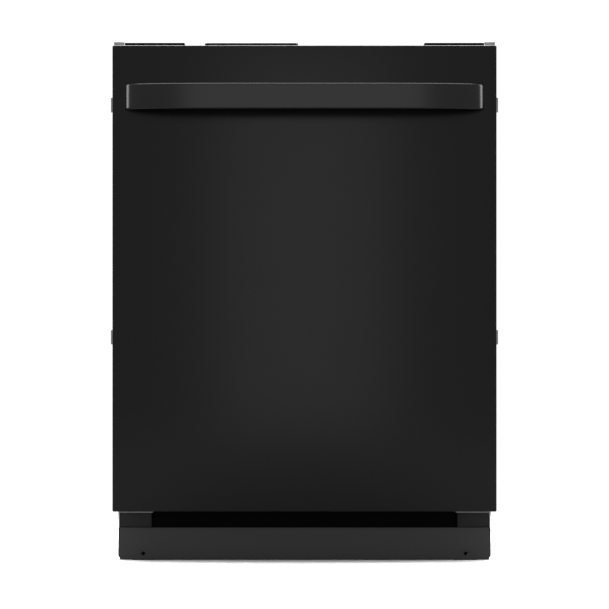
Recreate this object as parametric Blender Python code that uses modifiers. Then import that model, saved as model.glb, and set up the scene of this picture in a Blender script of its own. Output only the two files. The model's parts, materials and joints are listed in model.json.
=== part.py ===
"""A built-in dishwasher: tub, drop-down door, racks, wash system, base and mounting hardware.

Metres, X to the right, front towards -Y, Z up, floor at Z = 0. Every part is modelled in
world coordinates and then hung on the pivot of the body that it moves with.
"""

import math

import bmesh
import bpy
from mathutils import Matrix, Vector

# Overall sizes
DOOR_WIDTH = 0.6064
DOOR_HEIGHT = 0.736
DEPTH = 0.632  # handle front to the back of the blanket

# Clearances and sheets
GAP = 0.0003  # between pieces that touch
RUN = 0.0005  # round a piece that slides or turns in another
SHEET = 0.0012  # painted steel
TUB_SHEET = 0.001
STRAP = 0.0025  # galvanised side uprights
ARM_SHEET = 0.003

# Door
DOOR_LIFT = 0.080  # floor to the door's bottom edge
DOOR_THICK = 0.045
PIVOT_INSET = 0.025  # door face to hinge pin
PIVOT_RISE = 0.028  # door bottom to hinge pin
RETURN_DEPTH = 0.030
TOP_RETURN = 0.006
FOLD_RADIUS = 0.002
CONSOLE_HEIGHT = 0.044
INNER_RISE = 0.004  # hinge pin to the inner panel's bottom edge
INNER_INSET = 0.0172  # door edge to the inner panel's edge
MAT_THICK = 0.003

# Handle
HANDLE_REACH = 0.042
HANDLE_LENGTH = 0.567
HANDLE_HEIGHT = 0.0405
HANDLE_DROP = 0.0615  # door top to handle top
HANDLE_THICK = 0.010
HANDLE_BOW = 5.0  # exponent of its bow: higher is flatter in the middle
HANDLE_STEPS = 24

# Tub
TUB_DROP = 0.010  # door top to tub top
TUB_RISE = 0.010  # hinge pin to tub bottom
WELL_INSET = 0.043  # tub side to the step that the rack wheels run beside
LEDGE_FALL = 0.0005  # so that the ledges drain
GASKET_THICK = 0.0054
GASKET_WIDTH = 0.010
BLANKET_SETBACK = 0.023
BRACKET_INSET = 0.0017  # tub side to a counter bracket's end
BRACKET_LENGTH = 0.095
PAD_CLEAR = 0.0313  # counter bracket to the pad on the top

# Side uprights and their clips
UPRIGHT_INSET = 0.0062  # door edge to the upright's outer face
UPRIGHT_SETBACK = 0.014
UPRIGHT_WIDTH = 0.030
UPRIGHT_FOOT = 0.020
UPRIGHT_RISE = 0.0095  # above the door top
LIP_INSIDE = 0.0073
LIP_OUTSIDE = 0.0070
BOSS_RADIUS = 0.011
PIN_RADIUS = 0.005
CLIP_REACH = 0.012
CLIP_HEIGHT = 0.023
CLIP_LENGTH = 0.020
CLIP_SHEET = 0.0012
CLIP_HEIGHTS = (0.3548, 0.7255)

# Base
KICK_SETBACK = 0.062
KICK_INSET = 0.0062
KICK_BOTTOM = 0.002
KICK_TOP = 0.051
KICK_CLIP = 0.004
KICK_SCREW_X = 0.259
KICK_SCREW_Z = 0.010
SCREW_HOLE = 0.0024
ACCESS_TOP = 0.098
ACCESS_LEAN = 0.012
BASE_FRONT_SETBACK = 0.089
BASE_BOTTOM = 0.022
BASE_TOP = 0.060
BASE_FLANGE = 0.048
BASE_SHEET = 0.0015
LEG_RADIUS = 0.005
LEG_TOP = 0.110
LEG_INSET = 0.028  # base edge to a leg's centre
FOOT_RADIUS = 0.016
FOOT_HEIGHT = 0.008
VALVE_CLEAR = 0.0392  # left front leg to the inlet valve
BOX_CLEAR = 0.0302  # right front leg to the wiring box

# Racks
WIRE = 0.0045
WHEEL_RADIUS = 0.018
WHEEL_WIDTH = 0.010
WHEEL_CLEAR = 0.002  # wheel to the open door's inner face
LOWER_SETBACK = 0.042
LOWER_LENGTH = 0.452
LOWER_INSET = 0.049  # tub inner side to the lower rack
LOWER_LIFT = 0.030  # wheel bottom to rack floor
LOWER_DEEP = 0.170
UPPER_SETBACK = 0.028
UPPER_LENGTH = 0.456
UPPER_INSET = 0.042
UPPER_FLOOR = 0.475
UPPER_DEEP = 0.130
RAIL_CENTRE = 0.560
RAIL_HEIGHT = 0.032
RAIL_SHEET = 0.0015
RAIL_WIDTH = 0.020
RAIL_BLOCK = 0.022  # the blocks that hold a fixed rail off the wall
RAIL_FRONT_SETBACK = 0.030
RAIL_LENGTH = 0.470
SLIDER_LENGTH = 0.440

# Wash system
HUB_Y = 0.030
SUMP_RADIUS = 0.090
SUMP_DEPTH = 0.052
PUMP_CLEAR = 0.0162  # wash motor to the base frame's flange
FLOAT_INSET = 0.055  # well side to the float
POST_RADIUS = 0.010
ARM_RADIUS = 0.215
ARM_LIFT = 0.021  # tub floor to the lower arm
ARM_HEIGHT = 0.012
FILTER_RADIUS = 0.034
FILTER_OFFSET = 0.051
HEATER_RADIUS = 0.185
HEATER_WIRE = 0.004
DUCT_HALF = 0.018
DUCT_DEEP = 0.012

# Dispenser, in the door's inner panel
CUP_LEFT = -0.175
CUP_RIGHT = 0.085
CUP_BELOW = 0.445
CUP_ABOVE = 0.555
CUP_PROUD = 0.0075
LID_TRAVEL = 0.080

# Worked out from the sizes above
HALF = DOOR_WIDTH / 2
REAR_Y = DEPTH / 2
FACE_Y = HANDLE_REACH - DEPTH / 2
BACK_Y = FACE_Y + DOOR_THICK
PIVOT_Y = FACE_Y + PIVOT_INSET
PIVOT_Z = DOOR_LIFT + PIVOT_RISE
DOOR_TOP = DOOR_LIFT + DOOR_HEIGHT
UPRIGHT_OUT = HALF - UPRIGHT_INSET
UPRIGHT_IN = UPRIGHT_OUT - STRAP
ARM_OUT = UPRIGHT_IN - 0.002
ARM_IN = ARM_OUT - ARM_SHEET
TUB_HALF = ARM_IN - 0.0015
TUB_FRONT = BACK_Y + GASKET_THICK + 2 * GAP
BLANKET_THICK = UPRIGHT_IN - TUB_HALF - 2 * GAP
TUB_REAR = REAR_Y - BLANKET_THICK - GAP
TUB_TOP = DOOR_TOP - TUB_DROP
TUB_BOTTOM = PIVOT_Z + TUB_RISE
TUB_FLOOR = TUB_BOTTOM + TUB_SHEET
OPEN_FACE_Z = PIVOT_Z + BACK_Y - PIVOT_Y  # height of the inner face with the door open
LEDGE_Z = OPEN_FACE_Z + 0.0005 - TUB_SHEET
WELL_HALF = TUB_HALF - WELL_INSET
UPRIGHT_FRONT = TUB_FRONT + UPRIGHT_SETBACK
UPRIGHT_TOP = DOOR_TOP + UPRIGHT_RISE
BLANKET_TOP = TUB_TOP + GAP + BLANKET_THICK
CONSOLE_BOTTOM = DOOR_TOP - CONSOLE_HEIGHT
CONSOLE_TOP = DOOR_TOP - SHEET - GAP
HANDLE_TOP = DOOR_TOP - HANDLE_DROP
KICK_Y = FACE_Y + KICK_SETBACK
KICK_HALF = HALF - KICK_INSET
BASE_HALF = UPRIGHT_IN - GAP
BASE_FRONT = FACE_Y + BASE_FRONT_SETBACK
BASE_REAR = REAR_Y - 0.012
LEG_X = BASE_HALF - LEG_INSET
LEG_ROWS = (BASE_FRONT + LEG_INSET + 0.005, BASE_REAR - LEG_INSET - 0.005)
WHEEL_Z = OPEN_FACE_Z + WHEEL_CLEAR + WHEEL_RADIUS
LOWER_FLOOR = OPEN_FACE_Z + WHEEL_CLEAR + LOWER_LIFT
LOWER_HALF = TUB_HALF - LOWER_INSET
LOWER_FRONT = BACK_Y + LOWER_SETBACK
LOWER_REAR = LOWER_FRONT + LOWER_LENGTH
WHEEL_X = LOWER_HALF + WIRE / 2 + 0.0075 + WHEEL_WIDTH / 2
WHEEL_ROWS = (LOWER_FRONT + 0.115, LOWER_REAR - 0.085)
UPPER_HALF = TUB_HALF - UPPER_INSET
UPPER_FRONT = BACK_Y + UPPER_SETBACK
UPPER_REAR = UPPER_FRONT + UPPER_LENGTH
UPPER_ARM_Y = (UPPER_FRONT + UPPER_REAR) / 2
RAIL_FRONT = TUB_FRONT + RAIL_FRONT_SETBACK
RAIL_FAR = TUB_HALF - GASKET_WIDTH - RUN + RAIL_SHEET
ARM_Z = TUB_FLOOR + ARM_LIFT
SUMP_FLOOR = TUB_BOTTOM - SUMP_DEPTH
LEVER_REACH = 0.034
ARM_LENGTH = 0.150
ARM_FOOT_SHEET = 0.0015
PIN_END = UPRIGHT_OUT + 0.0015
SPRING_X = (ARM_IN + ARM_OUT) / 2
SPRING_Z = TUB_BOTTOM - 0.022
SPRING_START_Y = UPRIGHT_FRONT + UPRIGHT_WIDTH + 0.012
SPRING_END_Y = SPRING_START_Y + 0.140
BUTTON_PLATE = 0.003
BUTTON_RADIUS = 0.006
BUTTON_DEEP = 0.007
BUTTON_PROUD = 0.001
BUTTON_Y = (FACE_Y + TOP_RETURN + BACK_Y) / 2
BUTTONS = [0.110 + 0.035 * i for i in range(4)]
STRIKE_Z = (TUB_TOP - 0.020, TUB_TOP - 0.017)
STRIKE_Y = BACK_Y - 0.023
LATCH_X = (-0.026, 0.026)
LATCH_POCKET_Y = (FACE_Y + 0.015, BACK_Y + 0.005)
LATCH_POCKET_Z = (STRIKE_Z[0] - 0.0115, STRIKE_Z[1] + 0.008)
PAWL_Y = BACK_Y - 0.007
PAWL_REACH = 0.014
PAWL_THICK = 0.005
LID_THICK = 0.003
BASKET_HALF = 0.120
BASKET_DEEP = 0.072
BASKET_HEIGHT = 0.140


# ---------------------------------------------------------------- helpers


def clear_scene():
    for item in list(bpy.data.objects):
        bpy.data.objects.remove(item)


def make_collection(name):
    group = bpy.data.collections.new(name)
    bpy.context.scene.collection.children.link(group)
    return group


def make_material(name, colour, roughness, metallic=0.0):
    paint = bpy.data.materials.new(name)
    paint.use_nodes = True
    shader = paint.node_tree.nodes["Principled BSDF"]
    shader.inputs["Base Color"].default_value = (*colour, 1)
    shader.inputs["Roughness"].default_value = roughness
    shader.inputs["Metallic"].default_value = metallic
    paint.diffuse_color = (*colour, 1)
    return paint


def pivot(name, place, parent=None):
    """An empty on a joint's axis, which the pieces of its body hang on."""
    empty = bpy.data.objects.new(name, None)
    empty.empty_display_size = 0.02
    PARTS.objects.link(empty)
    hang(empty, place, parent)
    return empty


def place_of(item):
    """An object's world place: nothing here is turned, so places add up."""
    place = item.location.copy()
    while item.parent:
        item = item.parent
        place += item.location
    return place


def hang(item, place, parent):
    item.location = Vector(place)
    if parent:
        item.parent = parent
        item.location -= place_of(parent)


def add_part(name, mesh, paint, parent=None):
    """Adds a mesh that is in world coordinates, with its origin on its parent's."""
    item = bpy.data.objects.new(name, mesh)
    PARTS.objects.link(item)
    mesh.materials.clear()
    mesh.materials.append(paint)
    if parent:
        place = place_of(parent)
        mesh.transform(Matrix.Translation(-place))
        hang(item, place, parent)
    return item


def add_tool(name, mesh):
    """Adds a cutter or a joined piece, which only a Boolean reads."""
    item = bpy.data.objects.new(name, mesh)
    TOOLS.objects.link(item)
    item.hide_render = True
    item.display_type = "WIRE"
    return item


def to_mesh(name, bm):
    mesh = bpy.data.meshes.new(name)
    bm.to_mesh(mesh)
    bm.free()
    return mesh


def block_mesh(name, x, y, z):
    """A box between three pairs of limits."""
    bm = bmesh.new()
    bmesh.ops.create_cube(bm, size=1)
    size = Vector((x[1] - x[0], y[1] - y[0], z[1] - z[0]))
    centre = Vector((x[0] + x[1], y[0] + y[1], z[0] + z[1])) / 2
    bmesh.ops.scale(bm, vec=size, verts=bm.verts)
    bmesh.ops.translate(bm, vec=centre, verts=bm.verts)
    return to_mesh(name, bm)


TURN = {
    "X": Matrix.Rotation(math.pi / 2, 4, "Y"),
    "Y": Matrix.Rotation(-math.pi / 2, 4, "X"),
    "Z": Matrix.Identity(4),
}


def round_mesh(name, centre, radius, length, axis="Z", tip=None, sides=24):
    """A cylinder, or a cone where tip is the radius at its far end."""
    bm = bmesh.new()
    bmesh.ops.create_cone(
        bm,
        cap_ends=True,
        segments=sides,
        radius1=radius,
        radius2=radius if tip is None else tip,
        depth=length,
        matrix=Matrix.Translation(centre) @ TURN[axis],
    )
    smooth_sides(bm)
    return to_mesh(name, bm)


def smooth_sides(bm):
    for face in bm.faces:
        face.smooth = len(face.verts) == 4


PLANE = {
    "XY": Matrix.Identity(4),
    "XZ": Matrix.Rotation(math.pi / 2, 4, "X"),
    "YZ": Matrix(((0, 0, 1, 0), (1, 0, 0, 0), (0, 1, 0, 0), (0, 0, 0, 1))),
}


def plate_mesh(name, outline, span, plane, hole=None):
    """A flat outline, with an optional hole, between two limits along its normal."""
    curve = bpy.data.curves.new(name, "CURVE")
    curve.dimensions = "2D"
    curve.fill_mode = "BOTH"
    curve.extrude = (span[1] - span[0]) / 2
    for points in filter(None, (outline, hole)):
        spline = curve.splines.new("POLY")
        spline.points.add(len(points) - 1)
        for point, (u, v) in zip(spline.points, points):
            point.co = (u, v, 0, 1)
        spline.use_cyclic_u = True
    middle = (span[0] + span[1]) / 2
    normal = PLANE[plane].to_3x3() @ Vector((0, 0, 1))
    towards = 1 if sum(normal) > 0 else -1
    return curve_to_mesh(curve, Matrix.Translation(normal * middle * towards) @ PLANE[plane])


def tube_mesh(name, points, radius, radii=None, resolution=2):
    """A round bar along a list of points, closed at its ends."""
    curve = bpy.data.curves.new(name, "CURVE")
    curve.dimensions = "3D"
    curve.bevel_depth = radius
    curve.bevel_resolution = resolution
    curve.use_fill_caps = True
    spline = curve.splines.new("POLY")
    spline.points.add(len(points) - 1)
    for index, (point, place) in enumerate(zip(spline.points, points)):
        point.co = (*place, 1)
        point.radius = radii[index] if radii else 1.0
    return curve_to_mesh(curve, Matrix.Identity(4))


def curve_to_mesh(curve, matrix):
    item = bpy.data.objects.new(curve.name, curve)
    TOOLS.objects.link(item)
    item.matrix_world = matrix
    bpy.context.view_layer.update()
    graph = bpy.context.evaluated_depsgraph_get()
    mesh = bpy.data.meshes.new_from_object(item.evaluated_get(graph))
    bpy.data.objects.remove(item)
    bm = bmesh.new()
    bm.from_mesh(mesh)
    bmesh.ops.remove_doubles(bm, verts=bm.verts, dist=1e-5)
    bmesh.ops.transform(bm, matrix=matrix, verts=bm.verts)
    bmesh.ops.recalc_face_normals(bm, faces=bm.faces)
    bm.to_mesh(mesh)
    bm.free()
    return mesh


def turned_part(name, profile, centre, paint, parent=None, steps=32):
    """A solid of revolution: its profile runs from the axis at the top to the axis below."""
    bm = bmesh.new()
    corners = [bm.verts.new((radius, 0, height)) for radius, height in profile]
    for first, second in zip(corners, corners[1:]):
        bm.edges.new((first, second))
    item = add_part(name, to_mesh(name, bm), paint)
    hang(item, (centre[0], centre[1], 0), parent)
    screw = item.modifiers.new("turn", "SCREW")
    screw.steps = steps
    screw.render_steps = steps
    screw.use_merge_vertices = True
    screw.merge_threshold = 1e-5
    return item


def boolean(item, operation, tool):
    modifier = item.modifiers.new(tool.name, "BOOLEAN")
    modifier.operation = operation
    modifier.object = tool


def cut(item, mesh):
    boolean(item, "DIFFERENCE", add_tool(f"{mesh.name}_cutter", mesh))


def join(item, mesh):
    boolean(item, "UNION", add_tool(f"{mesh.name}_joined", mesh))


def bevel(item, width, segments=2, angle=0.6):
    modifier = item.modifiers.new("bevel", "BEVEL")
    modifier.width = width
    modifier.segments = segments
    modifier.limit_method = "ANGLE"
    modifier.angle_limit = angle


def solidify(item, thickness):
    """Thickens an open surface inwards."""
    modifier = item.modifiers.new("sheet", "SOLIDIFY")
    modifier.thickness = thickness
    modifier.offset = -1
    modifier.use_even_offset = True


def open_block(name, x, y, z, way, missing):
    """A box surface with one side left off: way is an axis index, missing its sign."""
    bm = bmesh.new()
    bm.from_mesh(block_mesh(name, x, y, z))
    lids = [face for face in bm.faces if face.normal[way] * missing > 0.9]
    bmesh.ops.delete(bm, geom=lids, context="FACES")
    return to_mesh(name, bm)


def arc(centre, radius, start, end, steps):
    """Points of an arc in an outline, from one angle to another in degrees."""
    angles = [math.radians(start + (end - start) * i / steps) for i in range(steps + 1)]
    return [(centre[0] + radius * math.cos(a), centre[1] + radius * math.sin(a)) for a in angles]


def pair(side, near, far):
    """Limits along X on one side of the middle: side is -1 or 1."""
    return tuple(sorted((side * near, side * far)))


SIDES = {"left": -1, "right": 1}


# ---------------------------------------------------------------- tub and case


def make_tub():
    """An open-fronted stainless box whose floor steps down between the wheel ledges."""
    outline = []
    for side in (1, -1):
        corners = [
            (TUB_HALF, TUB_TOP),
            (TUB_HALF, LEDGE_Z + LEDGE_FALL),
            (WELL_HALF, LEDGE_Z),
            (WELL_HALF, TUB_BOTTOM),
        ]
        outline += [(side * x, z) for x, z in corners[::side]]
    bm = bmesh.new()
    bm.from_mesh(plate_mesh("tub", outline, (TUB_FRONT, TUB_REAR), "XZ"))
    fronts = [face for face in bm.faces if face.normal.y < -0.9]
    bmesh.ops.delete(bm, geom=fronts, context="FACES")
    bmesh.ops.dissolve_limit(bm, angle_limit=0.01, verts=bm.verts, edges=bm.edges)
    tub = add_part("tub", to_mesh("tub", bm), STAINLESS)
    solidify(tub, TUB_SHEET)
    cut(tub, round_mesh("sump_hole", (0, HUB_Y, TUB_BOTTOM), SUMP_RADIUS, 0.02, sides=32))


def make_gasket():
    """The door seal, a frame in front of the tub's rim."""
    outer = frame_outline(TUB_HALF - GAP, TUB_BOTTOM + GAP, TUB_TOP - GAP)
    inner = frame_outline(TUB_HALF - GASKET_WIDTH, OPEN_FACE_Z, TUB_TOP - GASKET_WIDTH)
    span = (BACK_Y + GAP, TUB_FRONT - GAP)
    add_part("door_gasket", plate_mesh("door_gasket", outer, span, "XZ", inner), RUBBER)


def frame_outline(half, low, high):
    return [(-half, low), (half, low), (half, high), (-half, high)]


def make_blanket():
    """The sound blanket over the tub's top, sides and back, a shell open below and in front."""
    out = TUB_HALF + GAP + BLANKET_THICK
    front = TUB_FRONT + BLANKET_SETBACK
    mesh = open_block("sound_blanket", (-out, out), (front, REAR_Y), (LEDGE_Z, BLANKET_TOP), 2, -1)
    bm = bmesh.new()
    bm.from_mesh(mesh)
    fronts = [face for face in bm.faces if face.normal.y < -0.9]
    bmesh.ops.delete(bm, geom=fronts, context="FACES")
    solidify(add_part("sound_blanket", to_mesh("sound_blanket", bm), FELT), BLANKET_THICK)
    pad_left = BRACKET_INSET + BRACKET_LENGTH + PAD_CLEAR - TUB_HALF
    pad = block_mesh(
        "top_sound_pad",
        (pad_left, -0.010),
        (TUB_FRONT + 0.033, TUB_FRONT + 0.193),
        (BLANKET_TOP + GAP, UPRIGHT_TOP - 0.001),
    )
    bevel(add_part("top_sound_pad", pad, FELT), 0.002, 1)


def make_uprights():
    """Galvanised side straps with a top lip and a tongue that holds the hinge pin."""
    for word, side in SIDES.items():
        name = f"side_upright_{word}"
        back = UPRIGHT_FRONT + UPRIGHT_WIDTH
        outline = [
            (UPRIGHT_FRONT, UPRIGHT_FOOT),
            (back, UPRIGHT_FOOT),
            (back, UPRIGHT_TOP),
            (UPRIGHT_FRONT, UPRIGHT_TOP),
            (UPRIGHT_FRONT, PIVOT_Z + 0.050),
            *arc((PIVOT_Y, PIVOT_Z), BOSS_RADIUS, 120, 300, 8),
            (UPRIGHT_FRONT, PIVOT_Z + 0.012),
        ]
        span = pair(side, UPRIGHT_IN, UPRIGHT_OUT)
        strap = add_part(name, plate_mesh(name, outline, span, "YZ"), GALVANISED)
        lip = block_mesh(
            f"{name}_lip",
            pair(side, UPRIGHT_IN - LIP_INSIDE, UPRIGHT_OUT + LIP_OUTSIDE),
            (UPRIGHT_FRONT, back),
            (UPRIGHT_TOP - 0.0015, UPRIGHT_TOP),
        )
        join(strap, lip)
        hole = (side * UPRIGHT_OUT, PIVOT_Y, PIVOT_Z)
        cut(strap, round_mesh(f"{name}_hole", hole, PIN_RADIUS + RUN, 0.02, "X"))


def make_clips():
    """Folded clips on the uprights that screw to the cabinet sides."""
    for level, height in zip(("lower", "upper"), CLIP_HEIGHTS):
        for word, side in SIDES.items():
            name = f"side_clip_{level}_{word}"
            near = UPRIGHT_OUT + GAP
            far = UPRIGHT_OUT + CLIP_REACH
            front = UPRIGHT_FRONT + 0.002
            outline = [
                (near, front),
                (far, front),
                (far, front + CLIP_LENGTH),
                (far - CLIP_SHEET, front + CLIP_LENGTH),
                (far - CLIP_SHEET, front + CLIP_SHEET),
                (near + CLIP_SHEET, front + CLIP_SHEET),
                (near + CLIP_SHEET, front + CLIP_LENGTH),
                (near, front + CLIP_LENGTH),
            ]
            span = (height - CLIP_HEIGHT / 2, height + CLIP_HEIGHT / 2)
            mesh = plate_mesh(name, [(side * x, y) for x, y in outline], span, "XY")
            add_part(name, mesh, GALVANISED)


def make_counter_brackets():
    """Black channels on the tub's top that screw up into the counter."""
    low = BLANKET_TOP + GAP
    high = UPRIGHT_TOP - 0.0015
    front = UPRIGHT_FRONT - 0.004
    back = front + 0.050
    sheet = 0.0015
    outline = [
        (front, low),
        (back, low),
        (back, low + sheet),
        (front + sheet, low + sheet),
        (front + sheet, high - sheet),
        (back, high - sheet),
        (back, high),
        (front, high),
    ]
    inner = TUB_HALF - BRACKET_INSET - BRACKET_LENGTH
    outer = TUB_HALF - BRACKET_INSET
    for word, side in SIDES.items():
        name = f"counter_bracket_{word}"
        bracket = add_part(
            name, plate_mesh(name, outline, pair(side, inner, outer), "YZ"), BLACK_STEEL
        )
        window = block_mesh(
            f"{name}_window",
            pair(side, inner + 0.010, inner + 0.032),
            (front - 0.005, front + 0.005),
            (low + 0.003, high - 0.003),
        )
        cut(bracket, window)


# ---------------------------------------------------------------- base


def make_base():
    """A ring of angle section under the tub, with spring anchors and leg holes."""
    bm = bmesh.new()
    x = (-BASE_HALF, BASE_HALF)
    bm.from_mesh(open_block("base_frame", x, (BASE_FRONT, BASE_REAR), (BASE_BOTTOM, BASE_TOP), 2, -1))
    bm.faces.ensure_lookup_table()
    lid = [face for face in bm.faces if face.normal.z > 0.9]
    bmesh.ops.inset_region(bm, faces=lid, thickness=BASE_FLANGE)
    bmesh.ops.delete(bm, geom=lid, context="FACES")
    base = add_part("base_frame", to_mesh("base_frame", bm), GALVANISED)
    solidify(base, BASE_SHEET)
    for word, side in SIDES.items():
        anchor = block_mesh(
            f"spring_anchor_{word}",
            pair(side, SPRING_X - 0.003, SPRING_X + 0.003),
            (SPRING_END_Y + 0.001, SPRING_END_Y + 0.007),
            (BASE_TOP - 0.001, SPRING_Z + 0.008),
        )
        join(base, anchor)
        for row, y in zip(("front", "rear"), LEG_ROWS):
            hole = (side * LEG_X, y, BASE_TOP)
            cut(base, round_mesh(f"leg_hole_{row}_{word}", hole, LEG_RADIUS + RUN, 0.01))


def make_legs():
    """Threaded levelling legs, each on its own slide."""
    profile = [
        (0, LEG_TOP),
        (LEG_RADIUS, LEG_TOP),
        (LEG_RADIUS, FOOT_HEIGHT),
        (FOOT_RADIUS - 0.002, FOOT_HEIGHT),
        (FOOT_RADIUS, FOOT_HEIGHT - 0.002),
        (FOOT_RADIUS, 0),
        (0, 0),
    ]
    for row, y in zip(("front", "rear"), LEG_ROWS):
        for word, side in SIDES.items():
            name = f"leg_{row}_{word}"
            turned_part(name, profile, (side * LEG_X, y), ZINC, steps=20)


def make_kick_panel():
    """The toe kick, with clipped lower corners and a folded top edge."""
    outline = [
        (-KICK_HALF, KICK_BOTTOM + KICK_CLIP),
        (-KICK_HALF + KICK_CLIP, KICK_BOTTOM),
        (KICK_HALF - KICK_CLIP, KICK_BOTTOM),
        (KICK_HALF, KICK_BOTTOM + KICK_CLIP),
        (KICK_HALF, KICK_TOP),
        (-KICK_HALF, KICK_TOP),
    ]
    span = (KICK_Y, KICK_Y + SHEET)
    kick = add_part("kick_panel", plate_mesh("kick_panel", outline, span, "XZ"), KICK_PAINT)
    fold = block_mesh(
        "kick_fold",
        (-KICK_HALF + 0.010, KICK_HALF - 0.010),
        (KICK_Y + SHEET / 2, KICK_Y + 0.0025),
        (KICK_TOP - SHEET, KICK_TOP),
    )
    join(kick, fold)
    for word, side in SIDES.items():
        hole = (side * KICK_SCREW_X, KICK_Y, KICK_SCREW_Z)
        cut(kick, round_mesh(f"kick_hole_{word}", hole, SCREW_HOLE, 0.01, "Y", sides=16))


def make_access_panel():
    """The leaning inner toe board between the kick panel and the base."""
    low = KICK_Y + 0.004
    low_half = UPRIGHT_IN - 0.001
    high_half = UPRIGHT_IN - 0.004
    bottom = KICK_BOTTOM + 0.010
    outline = [(-low_half, bottom), (low_half, bottom), (high_half, ACCESS_TOP), (-high_half, ACCESS_TOP)]
    mesh = plate_mesh("access_panel", outline, (low, low + SHEET), "XZ")
    lean = ACCESS_LEAN / (ACCESS_TOP - bottom)
    for corner in mesh.vertices:
        corner.co.y += lean * (corner.co.z - bottom)
    add_part("access_panel", mesh, BLACK_STEEL)


# ---------------------------------------------------------------- under the tub


def make_sump():
    """The moulded sump under the tub, with the post that feeds the lower spray arm."""
    top = TUB_BOTTOM - GAP
    wall = 0.003
    rim = 0.010
    floor = SUMP_FLOOR + wall
    profile = [
        (0, ARM_Z - GAP),
        (POST_RADIUS, ARM_Z - GAP),
        (POST_RADIUS, floor),
        (SUMP_RADIUS * 0.82 - wall, floor),
        (SUMP_RADIUS, top),
        (SUMP_RADIUS + rim, top),
        (SUMP_RADIUS + rim, top - wall),
        (SUMP_RADIUS + wall, top - wall),
        (SUMP_RADIUS * 0.82, SUMP_FLOOR),
        (0, SUMP_FLOOR),
    ]
    turned_part("sump", profile, (0, HUB_Y), GREY_PLASTIC)


def make_pumps():
    """The wash pump on the sump's right and the drain pump on its left."""
    z = (SUMP_FLOOR + TUB_BOTTOM) / 2 - 0.012
    start = SUMP_RADIUS + 0.012
    y = HUB_Y
    volute = round_mesh("circulation_pump", (start + 0.020, y, z), 0.036, 0.040, "X")
    pump = add_part("circulation_pump", volute, BLACK_PLASTIC)
    end = BASE_HALF - BASE_FLANGE - PUMP_CLEAR
    x = (start + 0.038 + end) / 2
    join(pump, round_mesh("wash_motor", (x, y, z), 0.030, end - start - 0.038, "X"))
    bowl = round_mesh("drain_pump", (-start - 0.015, y, z + 0.006), 0.026, 0.030, "X")
    drain = add_part("drain_pump", bowl, BLACK_PLASTIC)
    join(drain, round_mesh("drain_motor", (-start - 0.055, y, z + 0.006), 0.020, 0.056, "X"))
    join(drain, round_mesh("drain_spigot", (-start - 0.015, y + 0.045, z + 0.006), 0.010, 0.060, "Y"))


def make_supply():
    """The water inlet valve and the wiring box, behind the toe boards."""
    front = BASE_FRONT + 0.004
    floor = BASE_TOP + GAP
    x = VALVE_CLEAR + 0.022 - LEG_X
    mesh = block_mesh("inlet_valve", (x - 0.022, x + 0.022), (front, front + 0.045), (floor, floor + 0.030))
    valve = add_part("inlet_valve", mesh, GREY_PLASTIC)
    join(valve, round_mesh("inlet_fitting", (x, front + 0.057, floor + 0.015), 0.012, 0.030, "Y"))
    right = LEG_X - BOX_CLEAR
    mesh = block_mesh("junction_box", (right - 0.066, right), (front, front + 0.042), (floor, floor + 0.036))
    bevel(add_part("junction_box", mesh, GALVANISED), 0.002, 1)


def make_springs():
    """Each door spring: a thin link from the hinge lever, then the coil's outer shape."""
    for word, side in SIDES.items():
        name = f"door_spring_{word}"
        x = side * SPRING_X
        lever = PIVOT_Y + LEVER_REACH - 0.004
        points = [
            (x, lever + 0.006, PIVOT_Z + 0.004),
            (x, SPRING_START_Y - 0.004, SPRING_Z + 0.001),
            (x, SPRING_START_Y, SPRING_Z),
            (x, SPRING_END_Y - 0.004, SPRING_Z),
            (x, SPRING_END_Y, SPRING_Z),
        ]
        radii = [0.15, 0.15, 1, 1, 0.4]
        add_part(name, tube_mesh(name, points, 0.0075, radii), SPRING_STEEL)


# ---------------------------------------------------------------- door


def make_outer_panel():
    """The painted front skin, folded back at both sides, the top and the bottom."""
    x = (-HALF, HALF)
    z = (DOOR_LIFT, DOOR_TOP)
    skin = open_block("door_outer_panel", x, (FACE_Y, FACE_Y + RETURN_DEPTH), z, 1, 1)
    skin = add_part("door_outer_panel", skin, DOOR_PAINT, DOOR)
    bevel(skin, FOLD_RADIUS, 2)
    solidify(skin, SHEET)
    inside = HALF - 0.003
    behind = (FACE_Y + TOP_RETURN, BACK_Y)
    cut(skin, block_mesh("top_opening", (-inside, inside), behind, (DOOR_TOP - 0.004, DOOR_TOP + 0.010)))
    for word, side in SIDES.items():
        notch = block_mesh(
            f"hinge_notch_{word}",
            pair(side, ARM_IN - 0.006, HALF - 0.0015),
            (FACE_Y + 0.004, BACK_Y),
            (DOOR_LIFT - 0.010, DOOR_LIFT + 0.004),
        )
        cut(skin, notch)


def make_inner_panel():
    """The stainless liner that closes the tub, with the dispenser's hole."""
    half = HALF - INNER_INSET
    z = (PIVOT_Z + INNER_RISE, CONSOLE_BOTTOM - GAP)
    liner = open_block("door_inner_panel", (-half, half), (FACE_Y + RETURN_DEPTH + RUN, BACK_Y), z, 1, -1)
    liner = add_part("door_inner_panel", liner, STAINLESS, DOOR)
    bevel(liner, FOLD_RADIUS, 2)
    solidify(liner, TUB_SHEET)
    hole = block_mesh(
        "dispenser_hole",
        (CUP_LEFT - RUN, CUP_RIGHT + RUN),
        (BACK_Y - 0.010, BACK_Y + 0.010),
        (CUP_BELOW - RUN, CUP_ABOVE + RUN),
    )
    cut(liner, hole)
    start = FACE_Y + SHEET + GAP
    mat = block_mesh(
        "door_sound_sheet",
        (-half, half),
        (start, start + MAT_THICK),
        (PIVOT_Z + INNER_RISE, CONSOLE_BOTTOM - GAP),
    )
    add_part("door_sound_sheet", mat, FELT, DOOR)


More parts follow.
